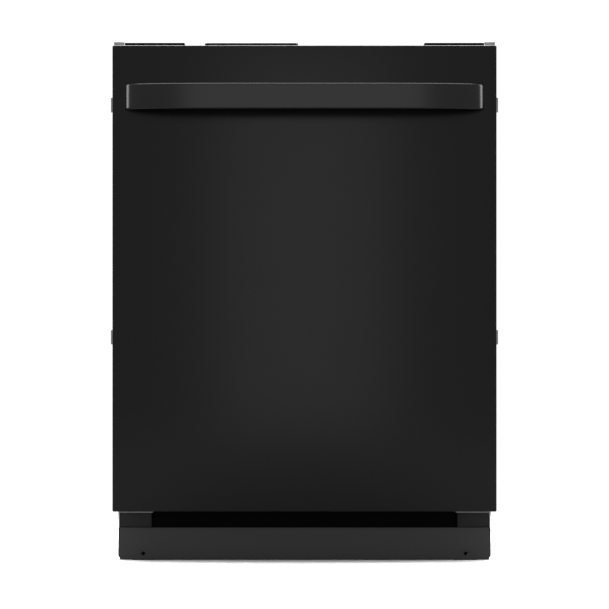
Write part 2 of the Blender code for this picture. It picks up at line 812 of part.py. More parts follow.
def make_console():
    """The control strip in the door's top edge: a latch pocket between two hollow ends."""
    half = HALF - SHEET - RUN
    top = CONSOLE_TOP
    front = FACE_Y + TOP_RETURN + RUN
    strip = block_mesh("control_console", (-half, half), (front, BACK_Y), (CONSOLE_BOTTOM, top))
    console = add_part("control_console", strip, BLACK_PLASTIC, DOOR)
    for word, side in SIDES.items():
        hollow = block_mesh(
            f"console_hollow_{word}",
            pair(side, 0.035, half - 0.003),
            (front + 0.003, BACK_Y - 0.003),
            (CONSOLE_BOTTOM - 0.010, top - BUTTON_PLATE),
        )
        cut(console, hollow)
    cut(console, block_mesh("latch_pocket", LATCH_X, LATCH_POCKET_Y, LATCH_POCKET_Z))
    for index, x in enumerate(BUTTONS):
        hole = (x, BUTTON_Y, top)
        cut(console, round_mesh(f"button_hole_{index + 1}", hole, BUTTON_RADIUS + GAP, 0.02))


def make_buttons():
    """Round push buttons in the console's top face."""
    for index, x in enumerate(BUTTONS):
        name = f"button_{index + 1}"
        axis = pivot(f"{name}_pivot", (x, BUTTON_Y, CONSOLE_TOP), DOOR)
        centre = (x, BUTTON_Y, CONSOLE_TOP + BUTTON_PROUD - BUTTON_DEEP / 2)
        add_part(name, round_mesh(name, centre, BUTTON_RADIUS, BUTTON_DEEP), GREY_PLASTIC, axis)


def make_latch():
    """The strike on the tub and the sprung pawl in the door that presses up under it."""
    strike = block_mesh("strike_plate", (-0.018, 0.018), (STRIKE_Y, STRIKE_Y + 0.050), STRIKE_Z)
    strike = add_part("strike_plate", strike, SPRING_STEEL)
    foot = block_mesh(
        "strike_foot",
        (-0.018, 0.018),
        (TUB_FRONT + 0.0015, STRIKE_Y + 0.050),
        (STRIKE_Z[0], TUB_TOP - TUB_SHEET - GAP),
    )
    join(strike, foot)
    top = STRIKE_Z[0] - GAP
    axis = pivot("latch_pivot", (0, PAWL_Y, top - PAWL_THICK / 2), DOOR)
    y = (PAWL_Y - PAWL_REACH, PAWL_Y + 0.001)
    pawl = block_mesh("door_latch", (-0.012, 0.012), y, (top - PAWL_THICK, top))
    add_part("door_latch", pawl, SPRING_STEEL, axis)


def make_handle():
    """A wide flat bar that bows out from the door and curves back to it at both ends."""
    half = HANDLE_LENGTH / 2
    base = FACE_Y - GAP
    steps = [math.cos(math.pi * i / HANDLE_STEPS) for i in range(HANDLE_STEPS + 1)]
    outer = [bow_point(t, half, base, HANDLE_REACH - GAP) for t in steps]
    inner = [bow_point(t, half - HANDLE_THICK, base, HANDLE_REACH - GAP - HANDLE_THICK) for t in steps]
    span = (HANDLE_TOP - HANDLE_HEIGHT, HANDLE_TOP)
    handle = add_part("handle", plate_mesh("handle", outer + inner[::-1], span, "XY"), HANDLE_PAINT, DOOR)
    bevel(handle, 0.0015, 2, 1.0)


def bow_point(t, half, base, reach):
    """A point of the handle's bow: t runs from -1 at one end to 1 at the other."""
    return half * t, base - reach * (1 - abs(t) ** HANDLE_BOW) ** (1 / 2)


def make_hinge_arms():
    """Each side's hinge arm: a plate up the liner, the pin, the spring lever and a foot."""
    for word, side in SIDES.items():
        name = f"hinge_arm_{word}"
        foot_top = DOOR_LIFT - GAP
        outline = [
            (PIVOT_Y - 0.012, foot_top - ARM_FOOT_SHEET),
            (PIVOT_Y + 0.010, foot_top - ARM_FOOT_SHEET),
            (PIVOT_Y + 0.012, PIVOT_Z - 0.008),
            (PIVOT_Y + LEVER_REACH, PIVOT_Z - 0.003),
            (PIVOT_Y + LEVER_REACH, PIVOT_Z + 0.009),
            (PIVOT_Y + 0.012, PIVOT_Z + 0.014),
            (PIVOT_Y + 0.012, PIVOT_Z + ARM_LENGTH),
            (PIVOT_Y - 0.012, PIVOT_Z + ARM_LENGTH),
        ]
        plate = plate_mesh(name, outline, pair(side, ARM_IN, ARM_OUT), "YZ")
        arm = add_part(name, plate, GALVANISED, DOOR)
        middle = (ARM_OUT - 0.001 + PIN_END) / 2
        pin = round_mesh(
            f"{name}_pin",
            (side * middle, PIVOT_Y, PIVOT_Z),
            PIN_RADIUS,
            PIN_END - ARM_OUT + 0.001,
            "X",
        )
        join(arm, pin)
        foot = block_mesh(
            f"{name}_foot",
            pair(side, ARM_IN - 0.050, ARM_OUT - 0.001),
            (PIVOT_Y - 0.015, PIVOT_Y + 0.005),
            (foot_top - ARM_FOOT_SHEET, foot_top),
        )
        join(arm, foot)


def make_dispenser():
    """The detergent cup with its sliding lid, and the rinse aid cap."""
    face = BACK_Y + CUP_PROUD
    body = block_mesh(
        "dispenser_body", (CUP_LEFT, CUP_RIGHT), (FACE_Y + 0.012, face), (CUP_BELOW, CUP_ABOVE)
    )
    body = add_part("dispenser_body", body, GREY_PLASTIC, DOOR)
    middle = (CUP_BELOW + CUP_ABOVE) / 2
    recess = block_mesh(
        "detergent_cup",
        (CUP_LEFT + LID_TRAVEL + 0.010, CUP_RIGHT - 0.095),
        (face - 0.028, face + 0.010),
        (middle - 0.038, middle + 0.038),
    )
    cut(body, recess)
    slide = pivot("lid_pivot", (CUP_LEFT + LID_TRAVEL, face, middle), DOOR)
    lid = block_mesh(
        "dispenser_lid",
        (CUP_LEFT + LID_TRAVEL + 0.003, CUP_RIGHT - 0.088),
        (face + GAP, face + GAP + LID_THICK),
        (middle - 0.044, middle + 0.044),
    )
    bevel(add_part("dispenser_lid", lid, GREY_PLASTIC, slide), 0.001, 1)
    x = CUP_RIGHT - 0.040
    twist = pivot("cap_pivot", (x, face, middle), DOOR)
    cap = round_mesh("rinse_cap", (x, face + GAP + 0.002, middle), 0.020, 0.004, "Y")
    cap = add_part("rinse_cap", cap, GREY_PLASTIC, twist)
    grip = block_mesh(
        "cap_grip",
        (x - 0.015, x + 0.015),
        (face + GAP + 0.003, face + GAP + 0.0065),
        (middle - 0.0025, middle + 0.0025),
    )
    join(cap, grip)


# ---------------------------------------------------------------- inside the tub


def rack_mesh(name, half, front, rear, floor, rim, cells):
    """A basket's cage: a floor grid whose edge is drawn up into walls."""
    bm = bmesh.new()
    bmesh.ops.create_grid(bm, x_segments=cells[0], y_segments=cells[1], size=0.5)
    bmesh.ops.scale(bm, vec=(2 * half, rear - front, 1), verts=bm.verts)
    bmesh.ops.translate(bm, vec=(0, (front + rear) / 2, floor), verts=bm.verts)
    edge = [e for e in bm.edges if e.is_boundary]
    for _ in range(cells[2]):
        made = bmesh.ops.extrude_edge_only(bm, edges=edge)["geom"]
        corners = [v for v in made if isinstance(v, bmesh.types.BMVert)]
        bmesh.ops.translate(bm, vec=(0, 0, (rim - floor) / cells[2]), verts=corners)
        edge = [e for e in made if isinstance(e, bmesh.types.BMEdge) and e.is_boundary]
    bmesh.ops.recalc_face_normals(bm, faces=bm.faces)
    return to_mesh(name, bm)


def make_rack(name, parent, half, front, rear, floor, rim, cells):
    rack = add_part(name, rack_mesh(name, half, front, rear, floor, rim, cells), COATED_WIRE, parent)
    wires = rack.modifiers.new("wires", "WIREFRAME")
    wires.thickness = WIRE
    wires.use_replace = True
    wires.use_boundary = True
    wires.use_even_offset = True


def make_lower_rack():
    """The lower rack, its four wheels and the silverware basket in it."""
    make_rack(
        "lower_rack",
        LOWER,
        LOWER_HALF,
        LOWER_FRONT,
        LOWER_REAR,
        LOWER_FLOOR,
        LOWER_FLOOR + LOWER_DEEP,
        (6, 6, 2),
    )
    for row, y in zip(("front", "rear"), WHEEL_ROWS):
        for word, side in SIDES.items():
            make_wheel(f"rack_wheel_{row}_{word}", side, y)
    make_basket()


def make_wheel(name, side, y):
    """A roller beside the rack, with the hub that it turns on."""
    axle = pivot(f"{name}_axle", (side * WHEEL_X, y, WHEEL_Z), LOWER)
    tyre = round_mesh(name, (side * WHEEL_X, y, WHEEL_Z), WHEEL_RADIUS, WHEEL_WIDTH, "X")
    wheel = add_part(name, tyre, GREY_PLASTIC, axle)
    near = LOWER_HALF + WIRE / 2 + RUN
    far = WHEEL_X - WHEEL_WIDTH / 2 + 0.001
    hub = round_mesh(f"{name}_hub", (side * (near + far) / 2, y, WHEEL_Z), 0.006, far - near, "X", sides=16)
    join(wheel, hub)


def make_basket():
    """An open bin with a taller middle plate that has a hand hole."""
    floor = LOWER_FLOOR + WIRE / 2 + GAP
    front = LOWER_FRONT + 0.012
    back = front + BASKET_DEEP
    bin_top = floor + BASKET_HEIGHT
    half = BASKET_HALF
    shell = open_block("silverware_basket", (-half, half), (front, back), (floor, bin_top), 2, 1)
    basket = add_part("silverware_basket", shell, GREY_PLASTIC, LOWER)
    solidify(basket, 0.002)
    middle = (front + back) / 2
    y = (middle - 0.0015, middle + 0.0015)
    plate = block_mesh("basket_plate", (0.001 - half, half - 0.001), y, (floor + 0.001, bin_top + 0.085))
    join(basket, plate)
    hand = block_mesh(
        "hand_hole", (-0.045, 0.045), (middle - 0.01, middle + 0.01), (bin_top + 0.045, bin_top + 0.073)
    )
    cut(basket, hand)


def make_upper_rack():
    """The upper rack and the rails that carry it."""
    make_rack(
        "upper_rack",
        UPPER,
        UPPER_HALF,
        UPPER_FRONT,
        UPPER_REAR,
        UPPER_FLOOR,
        UPPER_FLOOR + UPPER_DEEP,
        (6, 6, 2),
    )
    slider = pivot("slider_pivot", (0, RAIL_FRONT, RAIL_CENTRE))
    for word, side in SIDES.items():
        make_fixed_rail(f"upper_rail_{word}", side)
        name = f"extension_rail_{word}"
        near = UPPER_HALF + WIRE / 2 + RUN
        mesh = channel_mesh(
            name,
            side,
            near,
            RAIL_FAR - RAIL_SHEET - RUN,
            RAIL_HEIGHT - 2 * RAIL_SHEET - 2 * RUN,
            (RAIL_FRONT, RAIL_FRONT + SLIDER_LENGTH),
        )
        add_part(name, mesh, STAINLESS, slider)


def make_fixed_rail(name, side):
    """A channel held off the tub's wall by two blocks, so that the slider in it clears the seal."""
    span = (RAIL_FRONT, RAIL_FRONT + RAIL_LENGTH)
    mesh = channel_mesh(name, side, RAIL_FAR - RAIL_WIDTH, RAIL_FAR, RAIL_HEIGHT, span)
    rail = add_part(name, mesh, STAINLESS)
    wall = TUB_HALF - TUB_SHEET - GAP
    z = (RAIL_CENTRE - RAIL_BLOCK / 2, RAIL_CENTRE + RAIL_BLOCK / 2)
    for near in (RAIL_FRONT + RAIL_BLOCK, RAIL_FRONT + RAIL_LENGTH - 2 * RAIL_BLOCK):
        x = sorted((side * (RAIL_FAR - RAIL_SHEET / 2), side * wall))
        join(rail, block_mesh("rail_block", x, (near, near + RAIL_BLOCK), z))


def channel_mesh(name, side, near, far, height, span):
    """A C section along Y, open towards the middle of the tub."""
    low = RAIL_CENTRE - height / 2
    high = RAIL_CENTRE + height / 2
    outline = [
        (near, low),
        (far, low),
        (far, high),
        (near, high),
        (near, high - RAIL_SHEET),
        (far - RAIL_SHEET, high - RAIL_SHEET),
        (far - RAIL_SHEET, low + RAIL_SHEET),
        (near, low + RAIL_SHEET),
    ]
    return plate_mesh(name, [(side * x, z) for x, z in outline], span, "XZ")


def make_spray_arm(name, centre, low, high, parent):
    """A tapered two-ended arm with a round hub."""
    x, y = centre
    tip = 0.010
    root = 0.021
    reach = ARM_RADIUS - tip
    right = arc((x + reach, y), tip, -80, 80, 6)
    left = arc((x - reach, y), tip, 100, 260, 6)
    outline = [(x, y - root), *right, (x, y + root), *left]
    arm = add_part(name, plate_mesh(name, outline, (low, high), "XY"), GREY_PLASTIC, parent)
    join(arm, round_mesh(f"{name}_hub", (x, y, (low + high + 0.004) / 2), 0.028, high - low + 0.004))


def make_wash_system():
    """Spray arms, the duct that feeds the top sprayer, filter, float and heater."""
    hub = pivot("lower_arm_hub", (0, HUB_Y, ARM_Z))
    make_spray_arm("lower_spray_arm", (0, HUB_Y), ARM_Z, ARM_Z + ARM_HEIGHT, hub)
    high = UPPER_FLOOR - WIRE / 2 - RUN - 0.004
    hub = pivot("upper_arm_hub", (0, UPPER_ARM_Y, high), UPPER)
    make_spray_arm("upper_spray_arm", (0, UPPER_ARM_Y), high - ARM_HEIGHT, high, hub)
    make_duct()
    make_filter()
    make_float()
    make_heater()


def make_duct():
    """The spray duct up the back wall and along the ceiling, with the top sprayer."""
    back = TUB_REAR - TUB_SHEET - GAP
    top = TUB_TOP - TUB_SHEET - GAP
    low = TUB_FLOOR + 0.006
    end = HUB_Y - 0.020
    outline = [
        (back, low),
        (back, top),
        (end, top),
        (end, top - DUCT_DEEP),
        (back - DUCT_DEEP, top - DUCT_DEEP),
        (back - DUCT_DEEP, low),
    ]
    mesh = plate_mesh("spray_manifold", outline, (-DUCT_HALF, DUCT_HALF), "YZ")
    duct = add_part("spray_manifold", mesh, GREY_PLASTIC)
    centre = (0, HUB_Y, top - DUCT_DEEP - 0.004)
    join(duct, round_mesh("top_sprayer", centre, 0.030, 0.010, tip=0.026))


def make_filter():
    """The round filter that twists out of the sump beside the post."""
    top = TUB_FLOOR + 0.004
    low = SUMP_FLOOR + 0.012
    axis = pivot("filter_axis", (FILTER_OFFSET, HUB_Y, top))
    centre = (FILTER_OFFSET, HUB_Y, (top + low) / 2)
    mesh = round_mesh("filter_cup", centre, FILTER_RADIUS / 2, top - low, tip=FILTER_RADIUS)
    cup = add_part("filter_cup", mesh, GREY_PLASTIC, axis)
    bar = block_mesh(
        "filter_grip",
        (FILTER_OFFSET - 0.018, FILTER_OFFSET + 0.018),
        (HUB_Y - 0.002, HUB_Y + 0.002),
        (top - 0.001, top + 0.008),
    )
    join(cup, bar)


def make_float():
    """The overflow float's cap on the tub floor, which rises on a slide."""
    low = TUB_FLOOR + GAP
    x, y = FLOAT_INSET - WELL_HALF, TUB_FRONT + 0.070
    profile = [
        (0, low + 0.024),
        (0.010, low + 0.023),
        (0.016, low + 0.018),
        (0.018, low),
        (0, low),
    ]
    turned_part("float_cap", profile, (x, y), GREY_PLASTIC, steps=20)


def make_heater():
    """The tubular heater: most of a ring above the floor, with its ends turned down."""
    z = TUB_FLOOR + 0.009
    angles = [math.radians(-70 + 320 * i / 36) for i in range(37)]
    ring = [(HEATER_RADIUS * math.cos(a), HUB_Y + HEATER_RADIUS * math.sin(a), z) for a in angles]
    stub = Vector((0, -0.012, 0))
    drop = Vector((0, -0.012, TUB_FLOOR + GAP - z))
    first, last = Vector(ring[0]), Vector(ring[-1])
    points = [first + drop, first + stub, *ring, last + stub, last + drop]
    mesh = tube_mesh("heating_element", points, HEATER_WIRE, resolution=1)
    add_part("heating_element", mesh, HEATER_STEEL)


# ---------------------------------------------------------------- the model

clear_scene()
PARTS = make_collection("dishwasher")
TOOLS = make_collection("tools")

DOOR_PAINT = make_material("black_enamel", (0.016, 0.0155, 0.016), 0.34)
HANDLE_PAINT = make_material("handle_enamel", (0.020, 0.0195, 0.020), 0.30)
KICK_PAINT = make_material("kick_paint", (0.030, 0.030, 0.031), 0.50)
BLACK_STEEL = make_material("black_steel", (0.012, 0.012, 0.013), 0.55)
STAINLESS = make_material("stainless_steel", (0.60, 0.60, 0.61), 0.30, 1.0)
GALVANISED = make_material("galvanised_steel", (0.52, 0.53, 0.54), 0.42, 1.0)
ZINC = make_material("zinc_plate", (0.58, 0.57, 0.54), 0.35, 1.0)
SPRING_STEEL = make_material("spring_steel", (0.36, 0.36, 0.37), 0.38, 1.0)
HEATER_STEEL = make_material("heater_sheath", (0.20, 0.19, 0.18), 0.45, 1.0)
BLACK_PLASTIC = make_material("black_plastic", (0.018, 0.018, 0.019), 0.45)
GREY_PLASTIC = make_material("grey_plastic", (0.32, 0.33, 0.35), 0.50)
COATED_WIRE = make_material("coated_wire", (0.42, 0.43, 0.45), 0.40)
RUBBER = make_material("seal_rubber", (0.05, 0.05, 0.052), 0.70)
FELT = make_material("sound_felt", (0.055, 0.053, 0.050), 0.95)

DOOR = pivot("door_pivot", (0, PIVOT_Y, PIVOT_Z))
LOWER = pivot("lower_rack_pivot", (0, LOWER_FRONT, WHEEL_Z))
UPPER = pivot("upper_rack_pivot", (0, UPPER_FRONT, UPPER_FLOOR))

make_tub()
make_gasket()
make_blanket()
make_uprights()
make_clips()
make_counter_brackets()
make_base()
make_legs()
make_kick_panel()
make_access_panel()
make_sump()
make_pumps()
make_supply()
make_springs()
make_outer_panel()
make_inner_panel()
make_console()
make_buttons()
make_latch()
make_handle()
make_hinge_arms()
make_dispenser()
make_lower_rack()
make_upper_rack()
make_wash_system()
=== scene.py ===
"""Looks of a built-in dishwasher, laid out as an add-on and run as a script.

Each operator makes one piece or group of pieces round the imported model, in metres,
X to the right, front towards -Y, Z up.
"""

import json
import math

import bmesh
import bpy
from mathutils import Matrix, Vector


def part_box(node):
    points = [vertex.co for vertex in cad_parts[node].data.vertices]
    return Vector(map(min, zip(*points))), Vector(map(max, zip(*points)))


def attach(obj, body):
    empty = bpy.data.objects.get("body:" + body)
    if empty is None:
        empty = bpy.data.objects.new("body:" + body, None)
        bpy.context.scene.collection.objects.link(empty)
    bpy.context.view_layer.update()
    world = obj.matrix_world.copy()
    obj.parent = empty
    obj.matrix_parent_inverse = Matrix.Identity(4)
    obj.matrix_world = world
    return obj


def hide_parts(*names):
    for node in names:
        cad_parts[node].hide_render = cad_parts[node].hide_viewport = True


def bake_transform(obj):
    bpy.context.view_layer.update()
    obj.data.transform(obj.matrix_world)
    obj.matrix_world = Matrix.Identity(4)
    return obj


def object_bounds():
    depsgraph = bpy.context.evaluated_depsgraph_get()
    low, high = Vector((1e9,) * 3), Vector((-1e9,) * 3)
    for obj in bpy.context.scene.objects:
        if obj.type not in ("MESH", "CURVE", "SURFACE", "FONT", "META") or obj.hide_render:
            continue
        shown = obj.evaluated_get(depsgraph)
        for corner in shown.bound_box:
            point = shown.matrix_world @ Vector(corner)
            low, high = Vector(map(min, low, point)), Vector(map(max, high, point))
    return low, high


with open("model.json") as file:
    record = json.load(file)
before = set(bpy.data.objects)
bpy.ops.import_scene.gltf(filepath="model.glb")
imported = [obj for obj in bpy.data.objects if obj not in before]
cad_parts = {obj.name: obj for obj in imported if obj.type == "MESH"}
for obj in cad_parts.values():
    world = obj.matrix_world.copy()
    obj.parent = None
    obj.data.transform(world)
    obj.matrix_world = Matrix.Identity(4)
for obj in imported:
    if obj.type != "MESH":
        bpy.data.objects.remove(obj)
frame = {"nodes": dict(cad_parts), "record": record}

bl_info = {
    "name": "Built-in dishwasher looks",
    "version": (1, 0, 0),
    "blender": (4, 5, 0),
    "location": "View3D > Sidebar > Dishwasher",
    "description": "Materials, wire racks, door, seals and fittings of a built-in dishwasher",
    "category": "Add Mesh",
}

CAD_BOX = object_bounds()
SIDES = {"left": -1, "right": 1}
ROWS = ("front", "rear")


class DishwasherSizes(bpy.types.PropertyGroup):
    """Sizes of the fine details."""

    wire: bpy.props.FloatProperty(
        name="Rack wire",
        description="Radius of the racks' thin wires",
        default=0.0016,
        unit="LENGTH",
    )
    rim_wire: bpy.props.FloatProperty(
        name="Rim wire", description="Radius of the racks' rim wires", default=0.0025, unit="LENGTH"
    )
    wire_pitch: bpy.props.FloatProperty(
        name="Wire pitch", description="Distance between floor wires", default=0.0235, unit="LENGTH"
    )
    tine_height: bpy.props.FloatProperty(
        name="Tine height", description="Height of the plate tines", default=0.078, unit="LENGTH"
    )
    quilt: bpy.props.FloatProperty(
        name="Quilting",
        description="Distance between the blanket's stitch lines",
        default=0.086,
        unit="LENGTH",
    )
    coil_turns: bpy.props.IntProperty(
        name="Spring turns", description="Turns of each door spring", default=30
    )


class DishwasherColours(bpy.types.PropertyGroup):
    """Colours of the main finishes."""

    door: bpy.props.FloatVectorProperty(
        name="Door",
        description="Enamel of the door",
        default=(0.0030, 0.0029, 0.0030),
        subtype="COLOR",
    )
    handle: bpy.props.FloatVectorProperty(
        name="Handle",
        description="Enamel of the bar handle",
        default=(0.0115, 0.0112, 0.0115),
        subtype="COLOR",
    )
    kick: bpy.props.FloatVectorProperty(
        name="Kick panel",
        description="Paint of the toe kick",
        default=(0.105, 0.105, 0.107),
        subtype="COLOR",
    )
    wire: bpy.props.FloatVectorProperty(
        name="Rack coating",
        description="Nylon coating of the racks",
        default=(0.26, 0.27, 0.29),
        subtype="COLOR",
    )
    plastic: bpy.props.FloatVectorProperty(
        name="Wash parts",
        description="Plastic of the wash parts",
        default=(0.23, 0.24, 0.26),
        subtype="COLOR",
    )


# ---------------------------------------------------------------- shader groups


def new_group(name, inputs, outputs):
    """A shader node group with its sockets: inputs are (name, default) pairs of numbers."""
    tree = bpy.data.node_groups.new(name, "ShaderNodeTree")
    for label, default in inputs:
        socket = tree.interface.new_socket(label, in_out="INPUT", socket_type="NodeSocketFloat")
        socket.default_value = default
    for label in outputs:
        tree.interface.new_socket(label, in_out="OUTPUT", socket_type="NodeSocketFloat")
    return tree, tree.nodes.new("NodeGroupInput"), tree.nodes.new("NodeGroupOutput")


def math_node(tree, operation, first, second=None):
    node = tree.nodes.new("ShaderNodeMath")
    node.operation = operation
    for socket, value in zip(node.inputs, (first, second)):
        if isinstance(value, (int, float)):
            socket.default_value = value
        elif value is not None:
            tree.links.new(value, socket)
    return node.outputs[0]


def scaled_place(tree, stretch):
    """Object coordinates, stretched by a constant vector."""
    coordinates = tree.nodes.new("ShaderNodeTexCoord")
    mapping = tree.nodes.new("ShaderNodeMapping")
    mapping.inputs["Scale"].default_value = stretch
    tree.links.new(coordinates.outputs["Object"], mapping.inputs["Vector"])
    return mapping.outputs["Vector"]


def noise(tree, place, scale, detail=2.0):
    node = tree.nodes.new("ShaderNodeTexNoise")
    node.inputs["Detail"].default_value = detail
    tree.links.new(place, node.inputs["Vector"])
    if isinstance(scale, (int, float)):
        node.inputs["Scale"].default_value = scale
    else:
        tree.links.new(scale, node.inputs["Scale"])
    return node.outputs["Fac"]


def grain_group():
    """Fine moulded or painted grain: a height and a soft mask of larger patches."""
    tree, given, made = new_group("fine grain", [("Scale", 900.0), ("Patches", 14.0)], ["Height", "Patches"])
    place = scaled_place(tree, (1, 1, 1))
    tree.links.new(noise(tree, place, given.outputs["Scale"], 3.0), made.inputs["Height"])
    tree.links.new(noise(tree, place, given.outputs["Patches"], 4.0), made.inputs["Patches"])
    return tree


def brushed_group(name, stretch):
    """Brushed metal: lines along one axis, with patches of cleaner and duller metal."""
    tree, given, made = new_group(name, [("Scale", 60.0), ("Patches", 9.0)], ["Height", "Patches"])
    lines = noise(tree, scaled_place(tree, stretch), given.outputs["Scale"], 4.0)
    patches = noise(tree, scaled_place(tree, (1, 1, 1)), given.outputs["Patches"], 3.0)
    tree.links.new(lines, made.inputs["Height"])
    tree.links.new(patches, made.inputs["Patches"])
    return tree


def spangle_group():
    """Galvanised spangle: crystal patches a few millimetres across."""
    tree, given, made = new_group(
        "zinc spangle", [("Scale", 190.0), ("Patches", 12.0)], ["Height", "Patches"]
    )
    place = scaled_place(tree, (1, 1, 1))
    cells = tree.nodes.new("ShaderNodeTexVoronoi")
    tree.links.new(place, cells.inputs["Vector"])
    tree.links.new(given.outputs["Scale"], cells.inputs["Scale"])
    tone = tree.nodes.new("ShaderNodeSeparateColor")
    tree.links.new(cells.outputs["Color"], tone.inputs["Color"])
    blend = math_node(tree, "MULTIPLY", tone.outputs[0], noise(tree, place, given.outputs["Patches"]))
    tree.links.new(tone.outputs[1], made.inputs["Height"])
    tree.links.new(math_node(tree, "ADD", blend, 0.3), made.inputs["Patches"])
    return tree


def fibre_group():
    """Pressed fibre felt: tangled threads and scattered light flecks."""
    tree, given, made = new_group(
        "felt fibres", [("Scale", 260.0), ("Flecks", 420.0)], ["Height", "Patches", "Flecks"]
    )
    place = scaled_place(tree, (1, 1, 1))
    threads = noise(tree, place, given.outputs["Scale"], 6.0)
    flecks = tree.nodes.new("ShaderNodeTexVoronoi")
    flecks.distance = "MANHATTAN"
    tree.links.new(place, flecks.inputs["Vector"])
    tree.links.new(given.outputs["Flecks"], flecks.inputs["Scale"])
    near = math_node(tree, "LESS_THAN", flecks.outputs["Distance"], 0.26)
    some = math_node(tree, "GREATER_THAN", noise(tree, place, 130.0), 0.56)
    tree.links.new(threads, made.inputs["Height"])
    tree.links.new(noise(tree, place, 22.0, 4.0), made.inputs["Patches"])
    tree.links.new(math_node(tree, "MULTIPLY", near, some), made.inputs["Flecks"])
    return tree


GROUPS = {}


def build_groups():
    GROUPS["grain"] = grain_group()
    GROUPS["brush_x"] = brushed_group("brushed along X", (0.02, 1, 1))
    GROUPS["brush_z"] = brushed_group("brushed along Z", (1, 1, 0.02))
    GROUPS["spangle"] = spangle_group()
    GROUPS["fibre"] = fibre_group()


def finish(name, colour, effect, scale, depth, roughness, spread, tint, metallic=0.0, **shader):
    """A material: an effect group drives its colour variation, roughness and bump.

    roughness and spread give the middle and the range of roughness, tint how far the
    patches darken and lighten the colour, and shader the constants on its own sockets.
    """
    paint = bpy.data.materials.new(name)
    paint.use_nodes = True
    tree = paint.node_tree
    surface = tree.nodes["Principled BSDF"]
    surface.inputs["Metallic"].default_value = metallic
    for socket, value in shader.items():
        surface.inputs[socket.replace("_", " ")].default_value = value
    group = tree.nodes.new("ShaderNodeGroup")
    group.node_tree = GROUPS[effect]
    group.inputs["Scale"].default_value = scale
    ramp = tree.nodes.new("ShaderNodeMapRange")
    ramp.inputs["To Min"].default_value = max(0.02, roughness - spread)
    ramp.inputs["To Max"].default_value = roughness + spread
    tree.links.new(group.outputs["Patches"], ramp.inputs["Value"])
    tree.links.new(ramp.outputs["Result"], surface.inputs["Roughness"])
    mix = tree.nodes.new("ShaderNodeMix")
    mix.data_type = "RGBA"
    mix.inputs["A"].default_value = (*[c * (1 - tint) for c in colour], 1)
    mix.inputs["B"].default_value = (*[min(1, c * (1 + tint)) for c in colour], 1)
    tree.links.new(group.outputs["Patches"], mix.inputs["Factor"])
    bump = tree.nodes.new("ShaderNodeBump")
    bump.inputs["Distance"].default_value = depth
    bump.inputs["Strength"].default_value = 1.0
    tree.links.new(group.outputs["Height"], bump.inputs["Height"])
    tree.links.new(bump.outputs["Normal"], surface.inputs["Normal"])
    result = mix.outputs["Result"]
    if "Flecks" in group.outputs:
        result = fleck(tree, result, group.outputs["Flecks"])
    tree.links.new(result, surface.inputs["Base Color"])
    paint.diffuse_color = (*colour, 1)
    return paint


def fleck(tree, colour, mask):
    """Light fibres scattered over a colour."""
    mix = tree.nodes.new("ShaderNodeMix")
    mix.data_type = "RGBA"
    mix.inputs["B"].default_value = (0.42, 0.43, 0.45, 1)
    tree.links.new(mask, mix.inputs["Factor"])
    tree.links.new(colour, mix.inputs["A"])
    return mix.outputs["Result"]


PAINT = {}


